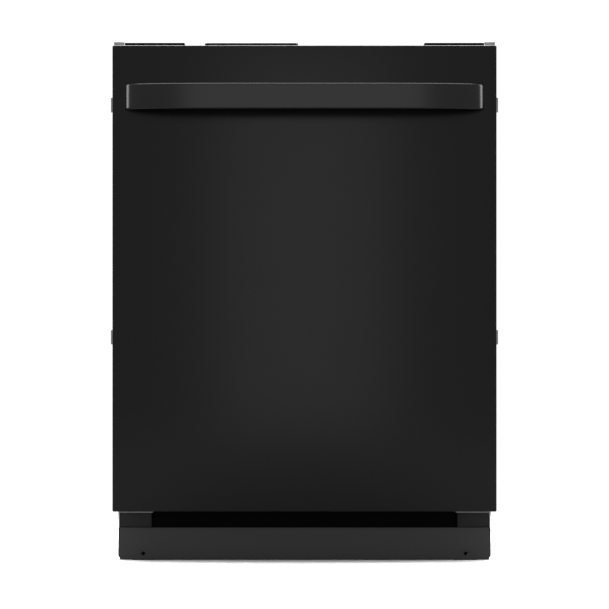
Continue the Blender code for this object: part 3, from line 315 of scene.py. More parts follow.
def build_finishes(looks):
    """Every finish of the object, by the name of the record's material slot or its own."""
    steel = (0.56, 0.56, 0.57)
    grey = looks.plastic
    wet = {"Coat_Weight": 0.25, "Coat_Roughness": 0.25}
    PAINT.update(
        black_enamel=finish(
            "door enamel", looks.door, "grain", 260, 0.00001, 0.26, 0.02, 0.05, Specular_IOR_Level=0.48
        ),
        handle_enamel=finish(
            "handle enamel", looks.handle, "grain", 320, 0.00001, 0.20, 0.02, 0.05, Specular_IOR_Level=0.62
        ),
        kick_paint=finish(
            "kick paint", looks.kick, "grain", 1500, 0.00006, 0.50, 0.06, 0.08, Specular_IOR_Level=0.35
        ),
        black_steel=finish(
            "black powder coat",
            (0.0024, 0.0024, 0.0024),
            "grain",
            1900,
            0.0001,
            0.60,
            0.08,
            0.20,
            Specular_IOR_Level=0.1,
        ),
        # a lighter black for the plates at the ends of the gap behind the toe kick: painted light falling in
        # from the sides
        worn_black=finish(
            "black with painted light", (0.034, 0.0335, 0.0325), "grain", 1500, 0.00004, 0.55, 0.05, 0.08
        ),
        stainless_steel=finish("brushed stainless", steel, "brush_x", 900, 0.00002, 0.27, 0.06, 0.05, 1.0),
        liner_steel=finish("brushed liner", steel, "brush_z", 900, 0.00002, 0.25, 0.06, 0.05, 1.0),
        galvanised_steel=finish(
            "galvanised sheet", (0.52, 0.53, 0.54), "spangle", 210, 0.00002, 0.40, 0.12, 0.22, 1.0
        ),
        zinc_plate=finish("zinc plate", (0.60, 0.59, 0.55), "grain", 700, 0.00003, 0.30, 0.08, 0.10, 1.0),
        spring_steel=finish(
            "oiled spring steel", (0.30, 0.30, 0.31), "grain", 600, 0.00003, 0.32, 0.08, 0.15, 1.0
        ),
        heater_sheath=finish(
            "heater sheath", (0.17, 0.15, 0.14), "grain", 420, 0.00004, 0.42, 0.10, 0.35, 1.0
        ),
        black_plastic=finish(
            "black moulding", (0.014, 0.014, 0.015), "grain", 2200, 0.00008, 0.46, 0.06, 0.10
        ),
        grey_plastic=finish("grey moulding", grey, "grain", 1600, 0.00005, 0.42, 0.06, 0.06, **wet),
        pale_plastic=finish("pale moulding", (0.62, 0.63, 0.64), "grain", 1600, 0.00005, 0.40, 0.06, 0.04),
        blue_plastic=finish("blue marker", (0.03, 0.14, 0.36), "grain", 1600, 0.00005, 0.38, 0.05, 0.06),
        coated_wire=finish("nylon coating", looks.wire, "grain", 500, 0.00004, 0.30, 0.06, 0.07, **wet),
        seal_rubber=finish("seal rubber", (0.035, 0.035, 0.036), "grain", 1300, 0.00006, 0.62, 0.08, 0.20),
        sound_felt=finish("sound felt", (0.050, 0.049, 0.048), "fibre", 330, 0.0009, 0.93, 0.04, 0.35),
        dark_felt=finish("dark felt", (0.013, 0.013, 0.013), "fibre", 330, 0.0006, 0.93, 0.04, 0.30),
        foil_tape=finish("foil tape", (0.66, 0.66, 0.67), "brush_x", 300, 0.0001, 0.30, 0.10, 0.08, 1.0),
        copper=finish("copper winding", (0.60, 0.24, 0.10), "brush_x", 1400, 0.0001, 0.32, 0.06, 0.15, 1.0),
        mark=finish("pale print", (0.46, 0.46, 0.46), "grain", 1200, 0.00002, 0.50, 0.04, 0.05),
    )


# ---------------------------------------------------------------- mesh helpers


def new_mesh(name, bm):
    mesh = bpy.data.meshes.new(name)
    bm.to_mesh(mesh)
    bm.free()
    return mesh


def soften(mesh, angle=0.6):
    """Smooth shading, with edges sharper than the angle kept crisp."""
    bm = bmesh.new()
    bm.from_mesh(mesh)
    for face in bm.faces:
        face.smooth = True
    for edge in bm.edges:
        edge.smooth = len(edge.link_faces) == 2 and edge.calc_face_angle(0) < angle
    bm.to_mesh(mesh)
    bm.free()


def piece(name, mesh, body, slot, paint=None, replaces=(), angle=0.6):
    """Adds a finished mesh that rides on a body and takes its finish from a slot."""
    mesh.name = name
    soften(mesh, angle)
    item = bpy.data.objects.new(name, mesh)
    bpy.context.scene.collection.objects.link(item)
    mesh.materials.clear()
    mesh.materials.append(PAINT[paint or slot])
    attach(item, body)
    if replaces:
        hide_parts(*replaces)
    return item


def bevelled(item, width, segments=2, angle=0.5):
    """A live edge rounding that keeps flat faces flat."""
    modifier = item.modifiers.new("rounding", "BEVEL")
    modifier.width = width
    modifier.segments = segments
    modifier.limit_method = "ANGLE"
    modifier.angle_limit = angle
    modifier.harden_normals = True
    return item


def solid_copy(node, flats=True):
    """A CAD node's mesh with its loose triangles merged and, with flats, its flats joined."""
    bm = bmesh.new()
    bm.from_mesh(frame["nodes"][node].data)
    bmesh.ops.remove_doubles(bm, verts=bm.verts, dist=2e-6)
    if flats:
        bmesh.ops.dissolve_limit(bm, angle_limit=0.002, verts=bm.verts, edges=bm.edges)
    return new_mesh(node, bm)


BODY_OF = {node: body for body, nodes in frame["record"]["behaviour"]["bodies"].items() for node in nodes}
SLOT_OF = {part["node"]: part["material_slot"] for part in frame["record"]["subparts"]}


def refined(node, width=0.0004, segments=2, paint=None, name=None):
    """A CAD node's own shape with rounded edges and its detailed finish."""
    item = piece(name or f"{node}_body", solid_copy(node), BODY_OF[node], SLOT_OF[node], paint, (node,))
    return bevelled(item, width, segments) if width else item


def add_block(bm, x, y, z):
    """Adds a box between three pairs of limits."""
    corners = bmesh.ops.create_cube(bm, size=1)["verts"]
    size = Vector((x[1] - x[0], y[1] - y[0], z[1] - z[0]))
    centre = Vector((x[0] + x[1], y[0] + y[1], z[0] + z[1])) / 2
    bmesh.ops.scale(bm, vec=size, verts=corners)
    bmesh.ops.translate(bm, vec=centre, verts=corners)
    return corners


TURN = {
    "X": Matrix.Rotation(math.pi / 2, 4, "Y"),
    "Y": Matrix.Rotation(-math.pi / 2, 4, "X"),
    "Z": Matrix.Identity(4),
}


def add_drum(bm, centre, radius, length, axis="Z", tip=None, sides=24):
    bmesh.ops.create_cone(
        bm,
        cap_ends=True,
        segments=sides,
        radius1=radius,
        radius2=radius if tip is None else tip,
        depth=length,
        matrix=Matrix.Translation(centre) @ TURN[axis],
    )


def tube(points, radius, smooth=True, closed=False, sides=3):
    """A round wire along points: smooth bends it through them, else it runs straight."""
    curve = bpy.data.curves.new("wire", "CURVE")
    curve.dimensions = "3D"
    curve.bevel_depth = radius
    curve.bevel_resolution = sides - 1
    curve.use_fill_caps = True
    spline = curve.splines.new("POLY")
    path = round_corners(points, closed) if smooth else points
    spline.points.add(len(path) - 1)
    for point, place in zip(spline.points, path):
        point.co = (*place, 1)
    spline.use_cyclic_u = closed
    item = bpy.data.objects.new("wire", curve)
    bpy.context.scene.collection.objects.link(item)
    bpy.context.view_layer.update()
    mesh = bpy.data.meshes.new_from_object(item.evaluated_get(bpy.context.evaluated_depsgraph_get()))
    bpy.data.objects.remove(item)
    bm = bmesh.new()
    bm.from_mesh(mesh)
    bmesh.ops.remove_doubles(bm, verts=bm.verts, dist=1e-6)
    bmesh.ops.recalc_face_normals(bm, faces=bm.faces)
    bm.to_mesh(mesh)
    bm.free()
    return mesh


BEND = 0.008  # wire bend radius


def round_corners(points, closed, radius=BEND, steps=4):
    """The same path with each corner cut by a short curve."""
    path = [Vector(p) for p in points]
    count = len(path)
    made = []
    for index, corner in enumerate(path):
        if not closed and index in (0, count - 1):
            made.append(corner)
            continue
        before = path[index - 1] - corner
        after = path[(index + 1) % count] - corner
        reach = min(radius, before.length * 0.45, after.length * 0.45)
        start = corner + before.normalized() * reach
        end = corner + after.normalized() * reach
        for step in range(steps + 1):
            t = step / steps
            made.append(start * (1 - t) ** 2 + corner * 2 * t * (1 - t) + end * t**2)
    return made


def turned(profile, centre, steps=48):
    """A closed body of revolution about Z: its profile runs from axis to axis."""
    bm = bmesh.new()
    corners = [bm.verts.new((centre[0] + r, centre[1], z)) for r, z in profile]
    edges = [bm.edges.new(pair) for pair in zip(corners, corners[1:])]
    bmesh.ops.spin(
        bm,
        geom=corners + edges,
        cent=(centre[0], centre[1], 0),
        axis=(0, 0, 1),
        angle=2 * math.pi,
        steps=steps,
        use_merge=True,
    )
    bmesh.ops.remove_doubles(bm, verts=bm.verts, dist=1e-6)
    bmesh.ops.recalc_face_normals(bm, faces=bm.faces)
    return new_mesh("turned", bm)


def joined(*meshes):
    """One mesh from several, each left where it is."""
    bm = bmesh.new()
    for mesh in meshes:
        bm.from_mesh(mesh)
    return new_mesh("joined", bm)


def loft(rings, closed=True, caps=False):
    """A skin through rings of equal length, each a list of points."""
    bm = bmesh.new()
    grid = [[bm.verts.new(p) for p in ring] for ring in rings]
    for first, second in zip(grid, grid[1:]):
        count = len(first)
        for index in range(count if closed else count - 1):
            nxt = (index + 1) % count
            bm.faces.new((first[index], first[nxt], second[nxt], second[index]))
    if caps:
        bm.faces.new(grid[0][::-1])
        bm.faces.new(grid[-1])
    bmesh.ops.recalc_face_normals(bm, faces=bm.faces)
    return new_mesh("loft", bm)


def thickened(item, thickness, offset=-1):
    modifier = item.modifiers.new("sheet", "SOLIDIFY")
    modifier.thickness = thickness
    modifier.offset = offset
    return item


# ---------------------------------------------------------------- geometry nodes


def geometry_tree(name, inputs):
    """A geometry node tree with named inputs, given as (name, kind, default)."""
    tree = bpy.data.node_groups.new(name, "GeometryNodeTree")
    tree.interface.new_socket("Geometry", in_out="INPUT", socket_type="NodeSocketGeometry")
    for label, kind, default in inputs:
        socket = tree.interface.new_socket(label, in_out="INPUT", socket_type=f"NodeSocket{kind}")
        if default is not None:
            socket.default_value = default
    tree.interface.new_socket("Geometry", in_out="OUTPUT", socket_type="NodeSocketGeometry")
    return tree, tree.nodes.new("NodeGroupInput"), tree.nodes.new("NodeGroupOutput")


def finish_tree(tree, given, made, geometry):
    """Every tree ends by realising its instances and setting the material."""
    real = tree.nodes.new("GeometryNodeRealizeInstances")
    paint = tree.nodes.new("GeometryNodeSetMaterial")
    tree.links.new(geometry, real.inputs["Geometry"])
    tree.links.new(real.outputs["Geometry"], paint.inputs["Geometry"])
    tree.links.new(given.outputs["Material"], paint.inputs["Material"])
    tree.links.new(paint.outputs["Geometry"], made.inputs["Geometry"])
    return tree


def rows_tree():
    """Copies its geometry in rows: Count by Step, then Rows by Row Step."""
    tree, given, made = geometry_tree(
        "copies in rows",
        [
            ("Count", "Int", 2),
            ("Step", "Vector", (0.01, 0, 0)),
            ("Rows", "Int", 1),
            ("Row Step", "Vector", (0, 0.01, 0)),
            ("Material", "Material", None),
        ],
    )
    geometry = given.outputs["Geometry"]
    for count, step in (("Count", "Step"), ("Rows", "Row Step")):
        line = tree.nodes.new("GeometryNodeMeshLine")
        copies = tree.nodes.new("GeometryNodeInstanceOnPoints")
        tree.links.new(given.outputs[count], line.inputs["Count"])
        tree.links.new(given.outputs[step], line.inputs["Offset"])
        tree.links.new(line.outputs["Mesh"], copies.inputs["Points"])
        tree.links.new(geometry, copies.inputs["Instance"])
        geometry = copies.outputs["Instances"]
    return finish_tree(tree, given, made, geometry)


def ring_tree():
    """Copies its geometry round the Z axis through the origin."""
    tree, given, made = geometry_tree(
        "copies in a ring",
        [("Count", "Int", 8), ("Material", "Material", None)],
    )
    line = tree.nodes.new("GeometryNodeMeshLine")
    line.inputs["Offset"].default_value = (0, 0, 0)
    tree.links.new(given.outputs["Count"], line.inputs["Count"])
    index = tree.nodes.new("GeometryNodeInputIndex")
    turn = tree.nodes.new("ShaderNodeMath")
    turn.operation = "DIVIDE"
    turn.inputs[0].default_value = 2 * math.pi
    tree.links.new(given.outputs["Count"], turn.inputs[1])
    angle = tree.nodes.new("ShaderNodeMath")
    angle.operation = "MULTIPLY"
    tree.links.new(index.outputs["Index"], angle.inputs[0])
    tree.links.new(turn.outputs[0], angle.inputs[1])
    rotation = tree.nodes.new("ShaderNodeCombineXYZ")
    tree.links.new(angle.outputs[0], rotation.inputs["Z"])
    copies = tree.nodes.new("GeometryNodeInstanceOnPoints")
    tree.links.new(line.outputs["Mesh"], copies.inputs["Points"])
    tree.links.new(given.outputs["Geometry"], copies.inputs["Instance"])
    tree.links.new(rotation.outputs["Vector"], copies.inputs["Rotation"])
    return finish_tree(tree, given, made, copies.outputs["Instances"])


def coil_tree():
    """A wire wound in a helix up the Z axis."""
    tree, given, made = geometry_tree(
        "wound coil",
        [
            ("Turns", "Float", 10.0),
            ("Radius", "Float", 0.006),
            ("Height", "Float", 0.1),
            ("Wire", "Float", 0.001),
            ("Steps", "Int", 20),
            ("Material", "Material", None),
        ],
    )
    spiral = tree.nodes.new("GeometryNodeCurveSpiral")
    tree.links.new(given.outputs["Turns"], spiral.inputs["Rotations"])
    tree.links.new(given.outputs["Radius"], spiral.inputs["Start Radius"])
    tree.links.new(given.outputs["Radius"], spiral.inputs["End Radius"])
    tree.links.new(given.outputs["Height"], spiral.inputs["Height"])
    tree.links.new(given.outputs["Steps"], spiral.inputs["Resolution"])
    section = tree.nodes.new("GeometryNodeCurvePrimitiveCircle")
    section.inputs["Resolution"].default_value = 6
    tree.links.new(given.outputs["Wire"], section.inputs["Radius"])
    skin = tree.nodes.new("GeometryNodeCurveToMesh")
    skin.inputs["Fill Caps"].default_value = True
    tree.links.new(spiral.outputs["Curve"], skin.inputs["Curve"])
    tree.links.new(section.outputs["Curve"], skin.inputs["Profile Curve"])
    return finish_tree(tree, given, made, skin.outputs["Mesh"])


def bow_tree():
    """A bar that bows out and returns at both ends, swept with a rounded flat section."""
    tree, given, made = geometry_tree(
        "bowed bar",
        [
            ("Half Length", "Float", 0.28),
            ("Reach", "Float", 0.04),
            ("Flatness", "Float", 5.0),
            ("Thickness", "Float", 0.01),
            ("Height", "Float", 0.04),
            ("Rounding", "Float", 0.002),
            ("Material", "Material", None),
        ],
    )

    def calc(operation, first, second=None):
        return math_node(tree, operation, first, second)

    line = tree.nodes.new("GeometryNodeCurvePrimitiveLine")
    points = tree.nodes.new("GeometryNodeResampleCurve")
    points.inputs["Count"].default_value = 97
    tree.links.new(line.outputs["Curve"], points.inputs["Curve"])
    along = tree.nodes.new("GeometryNodeSplineParameter")
    t = calc("COSINE", calc("MULTIPLY", along.outputs["Factor"], math.pi))
    fall = calc("POWER", calc("ABSOLUTE", t), given.outputs["Flatness"])
    out = calc("SQRT", calc("MAXIMUM", calc("SUBTRACT", 1.0, fall), 0.0))
    place = tree.nodes.new("ShaderNodeCombineXYZ")
    tree.links.new(calc("MULTIPLY", t, given.outputs["Half Length"]), place.inputs["X"])
    reach = calc("MULTIPLY", given.outputs["Reach"], -1.0)
    tree.links.new(calc("MULTIPLY", out, reach), place.inputs["Y"])
    shape = tree.nodes.new("GeometryNodeSetPosition")
    tree.links.new(points.outputs["Curve"], shape.inputs["Geometry"])
    tree.links.new(place.outputs["Vector"], shape.inputs["Position"])
    upright = tree.nodes.new("GeometryNodeSetCurveNormal")
    upright.mode = "Z_UP"
    tree.links.new(shape.outputs["Geometry"], upright.inputs["Curve"])
    section = tree.nodes.new("GeometryNodeCurvePrimitiveQuadrilateral")
    tree.links.new(given.outputs["Thickness"], section.inputs["Width"])
    tree.links.new(given.outputs["Height"], section.inputs["Height"])
    corner = tree.nodes.new("GeometryNodeFilletCurve")
    corner.mode = "POLY"
    corner.inputs["Count"].default_value = 4
    tree.links.new(section.outputs["Curve"], corner.inputs["Curve"])
    tree.links.new(given.outputs["Rounding"], corner.inputs["Radius"])
    skin = tree.nodes.new("GeometryNodeCurveToMesh")
    skin.inputs["Fill Caps"].default_value = True
    tree.links.new(upright.outputs["Curve"], skin.inputs["Curve"])
    tree.links.new(corner.outputs["Curve"], skin.inputs["Profile Curve"])
    return finish_tree(tree, given, made, skin.outputs["Mesh"])


TREES = {}


def build_trees():
    TREES["rows"] = rows_tree()
    TREES["ring"] = ring_tree()
    TREES["coil"] = coil_tree()
    TREES["bow"] = bow_tree()


def grown(kind, mesh, values):
    """Runs a tree on a mesh and gives the result as a plain mesh."""
    item = bpy.data.objects.new("grown", mesh or bpy.data.meshes.new("seed"))
    bpy.context.scene.collection.objects.link(item)
    modifier = item.modifiers.new("tree", "NODES")
    modifier.node_group = TREES[kind]
    sockets = {s.name: s.identifier for s in TREES[kind].interface.items_tree if s.in_out == "INPUT"}
    for label, value in values.items():
        modifier[sockets[label]] = value
    bpy.context.view_layer.update()
    graph = bpy.context.evaluated_depsgraph_get()
    made = bpy.data.meshes.new_from_object(item.evaluated_get(graph))
    bpy.data.objects.remove(item)
    bm = bmesh.new()
    bm.from_mesh(made)
    bmesh.ops.recalc_face_normals(bm, faces=bm.faces)
    bm.to_mesh(made)
    bm.free()
    return made


def rows(mesh, count, step, paint, deep=1, row_step=(0, 0.01, 0)):
    """Copies of a mesh in rows."""
    values = {"Count": count, "Step": step, "Rows": deep, "Row Step": row_step, "Material": PAINT[paint]}
    return grown("rows", mesh, values)


def placed(mesh, matrix):
    mesh.transform(matrix)
    return mesh


def grid_sheet(columns, lines, place, skip=None):
    """An open sheet through place(column, line), without the cells that skip picks."""
    bm = bmesh.new()
    grid = [[bm.verts.new(place(u, v)) for v in lines] for u in columns]
    for i in range(len(columns) - 1):
        for j in range(len(lines) - 1):
            corners = (grid[i][j], grid[i + 1][j], grid[i + 1][j + 1], grid[i][j + 1])
            middle = sum((c.co for c in corners), Vector()) / 4
            if not (skip and skip(middle)):
                bm.faces.new(corners)
    loose = [v for v in bm.verts if not v.link_faces]
    bmesh.ops.delete(bm, geom=loose, context="VERTS")
    return new_mesh("sheet", bm)


def rounded_frame(half, low, high, radius, y, steps=5):
    """A rounded rectangle's points in the upright plane at y."""
    corners = (
        (half - radius, low + radius, -90),
        (half - radius, high - radius, 0),
        (radius - half, high - radius, 90),
        (radius - half, low + radius, 180),
    )
    points = []
    for x, z, start in corners:
        for step in range(steps + 1):
            angle = math.radians(start + 90 * step / steps)
            points.append((x + radius * math.cos(angle), y, z + radius * math.sin(angle)))
    return points


def punched(mesh, tool):
    """The mesh with the tool's shapes cut out of it."""
    scene = bpy.context.scene.collection
    item = bpy.data.objects.new("blank", mesh)
    cutter = bpy.data.objects.new("punch", tool)
    scene.objects.link(item)
    scene.objects.link(cutter)
    modifier = item.modifiers.new("punch", "BOOLEAN")
    modifier.object = cutter
    modifier.operation = "DIFFERENCE"
    bpy.context.view_layer.update()
    made = bpy.data.meshes.new_from_object(item.evaluated_get(bpy.context.evaluated_depsgraph_get()))
    bpy.data.objects.remove(item)
    bpy.data.objects.remove(cutter)
    return made


def drum_mesh(centre, radius, length, axis="Z", tip=None, sides=24):
    bm = bmesh.new()
    add_drum(bm, centre, radius, length, axis, tip, sides)
    return new_mesh("drum", bm)


def block_of(x, y, z, rounding=0.0):
    bm = bmesh.new()
    add_block(bm, x, y, z)
    if rounding:
        bmesh.ops.bevel(bm, geom=bm.edges, offset=rounding, segments=2, profile=0.5, affect="EDGES")
    return new_mesh("block", bm)


def ridge_ring(root, crest, half_root, half_crest, sides):
    """A tapered ridge round the Z axis, as on a thread, a fin or a hose barb."""
    profile = [
        (root, half_root), (crest, half_crest), (crest, -half_crest), (root, -half_root), (root, half_root)
    ]
    return turned(profile, (0, 0), sides)


def screw_mesh(centre, axis, radius=0.004, proud=0.0018):
    """A domed screw head with a cross recess, its axis pointing out of the surface along axis."""
    profile = [(0, proud), (radius * 0.45, proud * 0.96), (radius * 0.8, proud * 0.7), (radius, 0), (0, 0)]
    head = turned(profile, (0, 0), 16)
    long, thin = (-radius * 0.62, radius * 0.62), (-radius * 0.13, radius * 0.13)
    for x, y in ((long, thin), (thin, long)):
        head = punched(head, block_of(x, y, (proud * 0.45, proud * 1.3)))
    turn = Vector((0, 0, 1)).rotation_difference(Vector(axis)).to_matrix().to_4x4()
    return placed(head, Matrix.Translation(centre) @ turn)


def screws(name, body, places, axis, slot="zinc_plate", paint=None, radius=0.004):
    meshes = [screw_mesh(place, axis, radius) for place in places]
    return piece(name, joined(*meshes), body, slot, paint, angle=0.7)


# ---------------------------------------------------------------- door


def build_door_skin():
    refined("door_outer_panel", 0.0005, 2, name="door_skin")
    low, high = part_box("door_outer_panel")
    seams = []
    for side in SIDES.values():
        x = sorted((side * (high.x - 0.0105), side * (high.x - 0.0015)))
        seams.append(block_of(x, (high.y, high.y + 0.0008), (low.z + 0.006, high.z - 0.010), 0.0003))
    piece("door_hems", joined(*seams), "door", "black_enamel")


def build_inner_panel():
    """The stainless liner of the door: a pressed pan with a sunk field and beads."""
    low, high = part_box("door_inner_panel")
    cup_low, cup_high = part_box("dispenser_body")
    fall = high.y - low.y
    cell, inset = 0.0047, 0.002
    field_depth, bead_height = 0.0032, 0.0018
    xs = [low.x, low.x + 0.0004]
    xs += sorted(
        {round(low.x + 0.004 + i * cell, 5) for i in range(121)} | {cup_low.x + inset, cup_high.x - inset}
    )
    xs = [x for x in xs if x < high.x - 0.001] + [high.x - 0.0004, high.x]
    zs = [low.z, low.z + 0.0004]
    zs += sorted(
        {round(low.z + 0.004 + i * cell, 5) for i in range(141)} | {cup_low.z + inset, cup_high.z - inset}
    )
    zs = [z for z in zs if z < high.z - 0.001] + [high.z - 0.0004, high.z]

    def step(value, start, end):
        t = min(1, max(0, (value - start) / (end - start)))
        return t * t * (3 - 2 * t)

    def place(x, z):
        edge = min(x - low.x, high.x - x, z - low.z, high.z - z)
        sink = field_depth * step(edge, 0.028, 0.038)
        near_cup = max(cup_low.x - x, x - cup_high.x, cup_low.z - z, z - cup_high.z)
        sink *= step(near_cup, 0.004, 0.014)
        for centre in (-0.21, -0.105, 0.105, 0.21):
            inside = min(step(z, low.z + 0.06, low.z + 0.09), 1 - step(z, 0.385, 0.415))
            sink -= bead_height * inside * step(0.012 - abs(x - centre), 0, 0.008)
        rim = fall if edge < 0.0002 else 0.0
        return (x, high.y - rim - max(0, sink), z)

    def hole(middle):
        across = cup_low.x + inset < middle.x < cup_high.x - inset
        return across and cup_low.z + inset < middle.z < cup_high.z - inset

    mesh = grid_sheet(xs, zs, place, hole)
    if sum(p.normal.y for p in mesh.polygons) < 0:
        mesh.flip_normals()
    thickened(
        piece("door_liner", mesh, "door", "stainless_steel", "liner_steel", ("door_inner_panel",), 0.5),
        0.0008,
    )
    places = [(side * 0.270, high.y - 0.0003, z) for side in (-1, 1) for z in (0.16, 0.33, 0.50, 0.67)]
    screws("liner_screws", "door", places, (0, 1, 0), radius=0.0032)


def build_handle():
    low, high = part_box("handle")
    thick = 0.010
    values = {
        "Half Length": (high.x - low.x - thick) / 2,
        "Reach": high.y - low.y - thick / 2,
        "Flatness": 5.0,
        "Thickness": thick,
        "Height": high.z - low.z,
        "Rounding": 0.0026,
        "Material": PAINT["handle_enamel"],
    }
    mesh = placed(grown("bow", None, values), Matrix.Translation((0, high.y, (low.z + high.z) / 2)))
    piece("bar_handle", mesh, "door", "handle_enamel", None, ("handle",), 0.9)
    feet = []
    for side in SIDES.values():
        x = side * (high.x - thick / 2)
        feet.append(
            block_of(
                (x - 0.0062, x + 0.0062), (high.y - 0.0016, high.y), (low.z + 0.0012, high.z - 0.0012), 0.0006
            )
        )
    piece("handle_gaskets", joined(*feet), "door", "black_plastic")


def build_console():
    """The hidden controls on the door's top edge: keys, lamps and plain marks."""
    refined("control_console", 0.0004)
    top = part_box("control_console")[1].z
    for number in range(1, 5):
        node = f"button_{number}"
        low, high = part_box(node)
        centre = ((low.x + high.x) / 2, (low.y + high.y) / 2)
        r, z = (high.x - low.x) / 2, high.z
        profile = [(0, z - 0.0007), (r * 0.5, z - 0.0006), (r * 0.78, z - 0.0001), (r * 0.9, z)]
        profile += [(r * 0.98, z - 0.0003), (r, z - 0.001), (r, low.z), (0, low.z)]
        piece(f"{node}_key", turned(profile, centre, 40), BODY_OF[node], SLOT_OF[node], None, (node,), 0.9)
    y = (low.y + high.y) / 2
    marks = []
    for number in range(1, 5):
        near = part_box(f"button_{number}")[0].x - 0.0115
        for bar in range(number):
            z = (top, top + 0.00012)
            marks.append(
                block_of((near + 0.002 * bar, near + 0.002 * bar + 0.0011), (y - 0.003, y + 0.003), z)
            )
    piece("key_marks", joined(*marks), "door", "black_plastic", "mark")
    lens = drum_mesh((-0.0800, y, top), 0.0016, 0.0006, sides=20)
    lamps = rows(lens, 5, (0.014, 0, 0), "pale_plastic")
    piece("status_lamps", lamps, "door", "black_plastic", "pale_plastic")
    rib = block_of((-0.292, -0.2905), (y - 0.008, y + 0.008), (top, top + 0.0005), 0.0002)
    piece("console_ribs", rows(rib, 9, (0.004, 0, 0), "black_plastic"), "door", "black_plastic")


def build_dispenser():
    """The detergent dispenser: frame, vents, sliding lid with a grip and the rinse-aid cap."""
    refined("dispenser_body", 0.0012, 3)
    low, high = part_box("dispenser_body")
    lid_low, lid_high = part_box("dispenser_lid")
    refined("dispenser_lid", 0.0006)
    grip = block_of(
        (lid_high.x - 0.018, lid_high.x - 0.0165),
        (lid_high.y, lid_high.y + 0.0012),
        (lid_low.z + 0.022, lid_high.z - 0.022),
        0.0004,
    )
    piece("lid_grip", rows(grip, 5, (0.003, 0, 0), "grey_plastic"), "dispenser_lid", "grey_plastic")
    ridge = block_of(
        (lid_low.x + 0.012, lid_low.x + 0.030),
        (high.y - 0.0275, high.y - 0.0268),
        (lid_low.z + 0.012, lid_low.z + 0.0128),
        0.0002,
    )
    marks = rows(ridge, 5, (0, 0, 0.012), "pale_plastic")
    piece("dose_marks", marks, "door", "grey_plastic", "pale_plastic")
    release = block_of(
        (low.x + 0.012, low.x + 0.044),
        (high.y - 0.0008, high.y + 0.0002),
        (high.z - 0.030, high.z - 0.016),
        0.0002,
    )
    piece("lid_release", release, "door", "grey_plastic", "blue_plastic")
    slot = block_of(
        (low.x + 0.010, low.x + 0.054),
        (high.y - 0.0008, high.y + 0.0002),
        (low.z + 0.016, low.z + 0.0185),
        0.0002,
    )
    piece(
        "vent_slats", rows(slot, 8, (0, 0, 0.0052), "black_plastic"), "door", "grey_plastic", "black_plastic"
    )
    build_rinse_cap()


def build_rinse_cap():
    low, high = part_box("rinse_cap")
    x, z = (low.x + high.x) / 2, (low.z + high.z) / 2
    r, face, base = (high.x - low.x) / 2, high.y - 0.0030, low.y
    profile = [
        (0, face), (r * 0.80, face), (r * 0.94, face - 0.0006), (r, face - 0.0016), (r, base), (0, base)
    ]
    cap = turned(profile, (0, 0), 56)
    knurl = block_of((r - 0.0012, r), (-0.0007, 0.0007), (base, face - 0.0010), 0.0002)
    knurls = grown("ring", knurl, {"Count": 28, "Material": PAINT["grey_plastic"]})
    grip = block_of((-r * 0.74, r * 0.74), (-0.0028, 0.0028), (face - 0.0004, high.y), 0.0008)
    mesh = joined(cap, knurls, grip)
    turn = Matrix.Translation((x, 0, z)) @ Matrix.Rotation(-math.pi / 2, 4, "X")
    piece("rinse_cap_dial", placed(mesh, turn), "rinse_cap", "grey_plastic", None, ("rinse_cap",), 0.7)
    tip = drum_mesh((x + r * 0.52, high.y, z), 0.0013, 0.0004, "Y", sides=3)
    piece("dial_pointer", tip, "rinse_cap", "grey_plastic", "blue_plastic")


def build_hinges():
    """Hinge arms with their rivets, and the door springs with the links that they pull."""
    sizes = bpy.context.scene.dishwasher_sizes
    arm_face, head_middle, rivet_pitch = 0.2899, 0.0028, 0.042
    wire = 0.0012
    for word, side in SIDES.items():
        refined(f"hinge_arm_{word}", 0.0004)
        rivet = drum_mesh(
            (side * arm_face + side * head_middle, -0.249, 0.150), 0.004, 0.0022, "X", 0.0030, 16
        )
        piece(f"hinge_rivets_{word}", rows(rivet, 3, (0, 0, rivet_pitch), "zinc_plate"), "door", "zinc_plate")
        spring_low, spring_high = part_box(f"door_spring_{word}")
        x, z = (spring_low.x + spring_high.x) / 2, 0.096
        start, end = spring_low.y + 0.0464, spring_high.y
        values = {
            "Turns": float(sizes.coil_turns),
            "Radius": 0.0060,
            "Height": end - start - 0.012,
            "Wire": wire,
            "Steps": 14,
            "Material": PAINT["spring_steel"],
        }
        coil = grown("coil", None, values)
        turn = Matrix.Translation((x, end - 0.006, z)) @ Matrix.Rotation(math.pi / 2, 4, "X")
        hooks = [
            tube(
                [
                    (x, end - 0.007, z + 0.006),
                    (x, end - 0.002, z + 0.004),
                    (x, end, z),
                    (x, end - 0.003, z - 0.004),
                ],
                wire,
            ),
            tube(
                [(x, start + 0.006, z + 0.006), (x, start + 0.001, z + 0.002), (x, start - 0.003, z + 0.001)],
                wire,
            ),
        ]
        piece(
            f"spring_coil_{word}",
            joined(placed(coil, turn), *hooks),
            "cabinet",
            "spring_steel",
            None,
            angle=1.0,
        )
        lever = Vector((x, spring_low.y + 0.004, 0.1115))
        path = [
            lever,
            lever + Vector((0, 0.006, -0.004)),
            (x, start - 0.010, z + 0.002),
            (x, start - 0.001, z + 0.001),
        ]
        link = piece_blend(f"spring_link_{word}", tube(path, 0.0013))
        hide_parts(f"door_spring_{word}")


def piece_blend(name, mesh):
    """A spring-steel link, made in place and attached to no body."""
    soften(mesh, 1.0)
    item = bpy.data.objects.new(name, mesh)
    bpy.context.scene.collection.objects.link(item)
    mesh.materials.clear()
    mesh.materials.append(PAINT["spring_steel"])
    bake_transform(item)
    return item


def build_latch():
    refined("door_latch", 0.0005)
    refined("strike_plate", 0.0004)
    low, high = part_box("strike_plate")
    places = [(side * 0.012, high.y - 0.016, low.z + 0.0002) for side in (-1, 1)]
    screws("strike_screws", "cabinet", places, (0, 0, -1), radius=0.0028)


# ---------------------------------------------------------------- cabinet outside


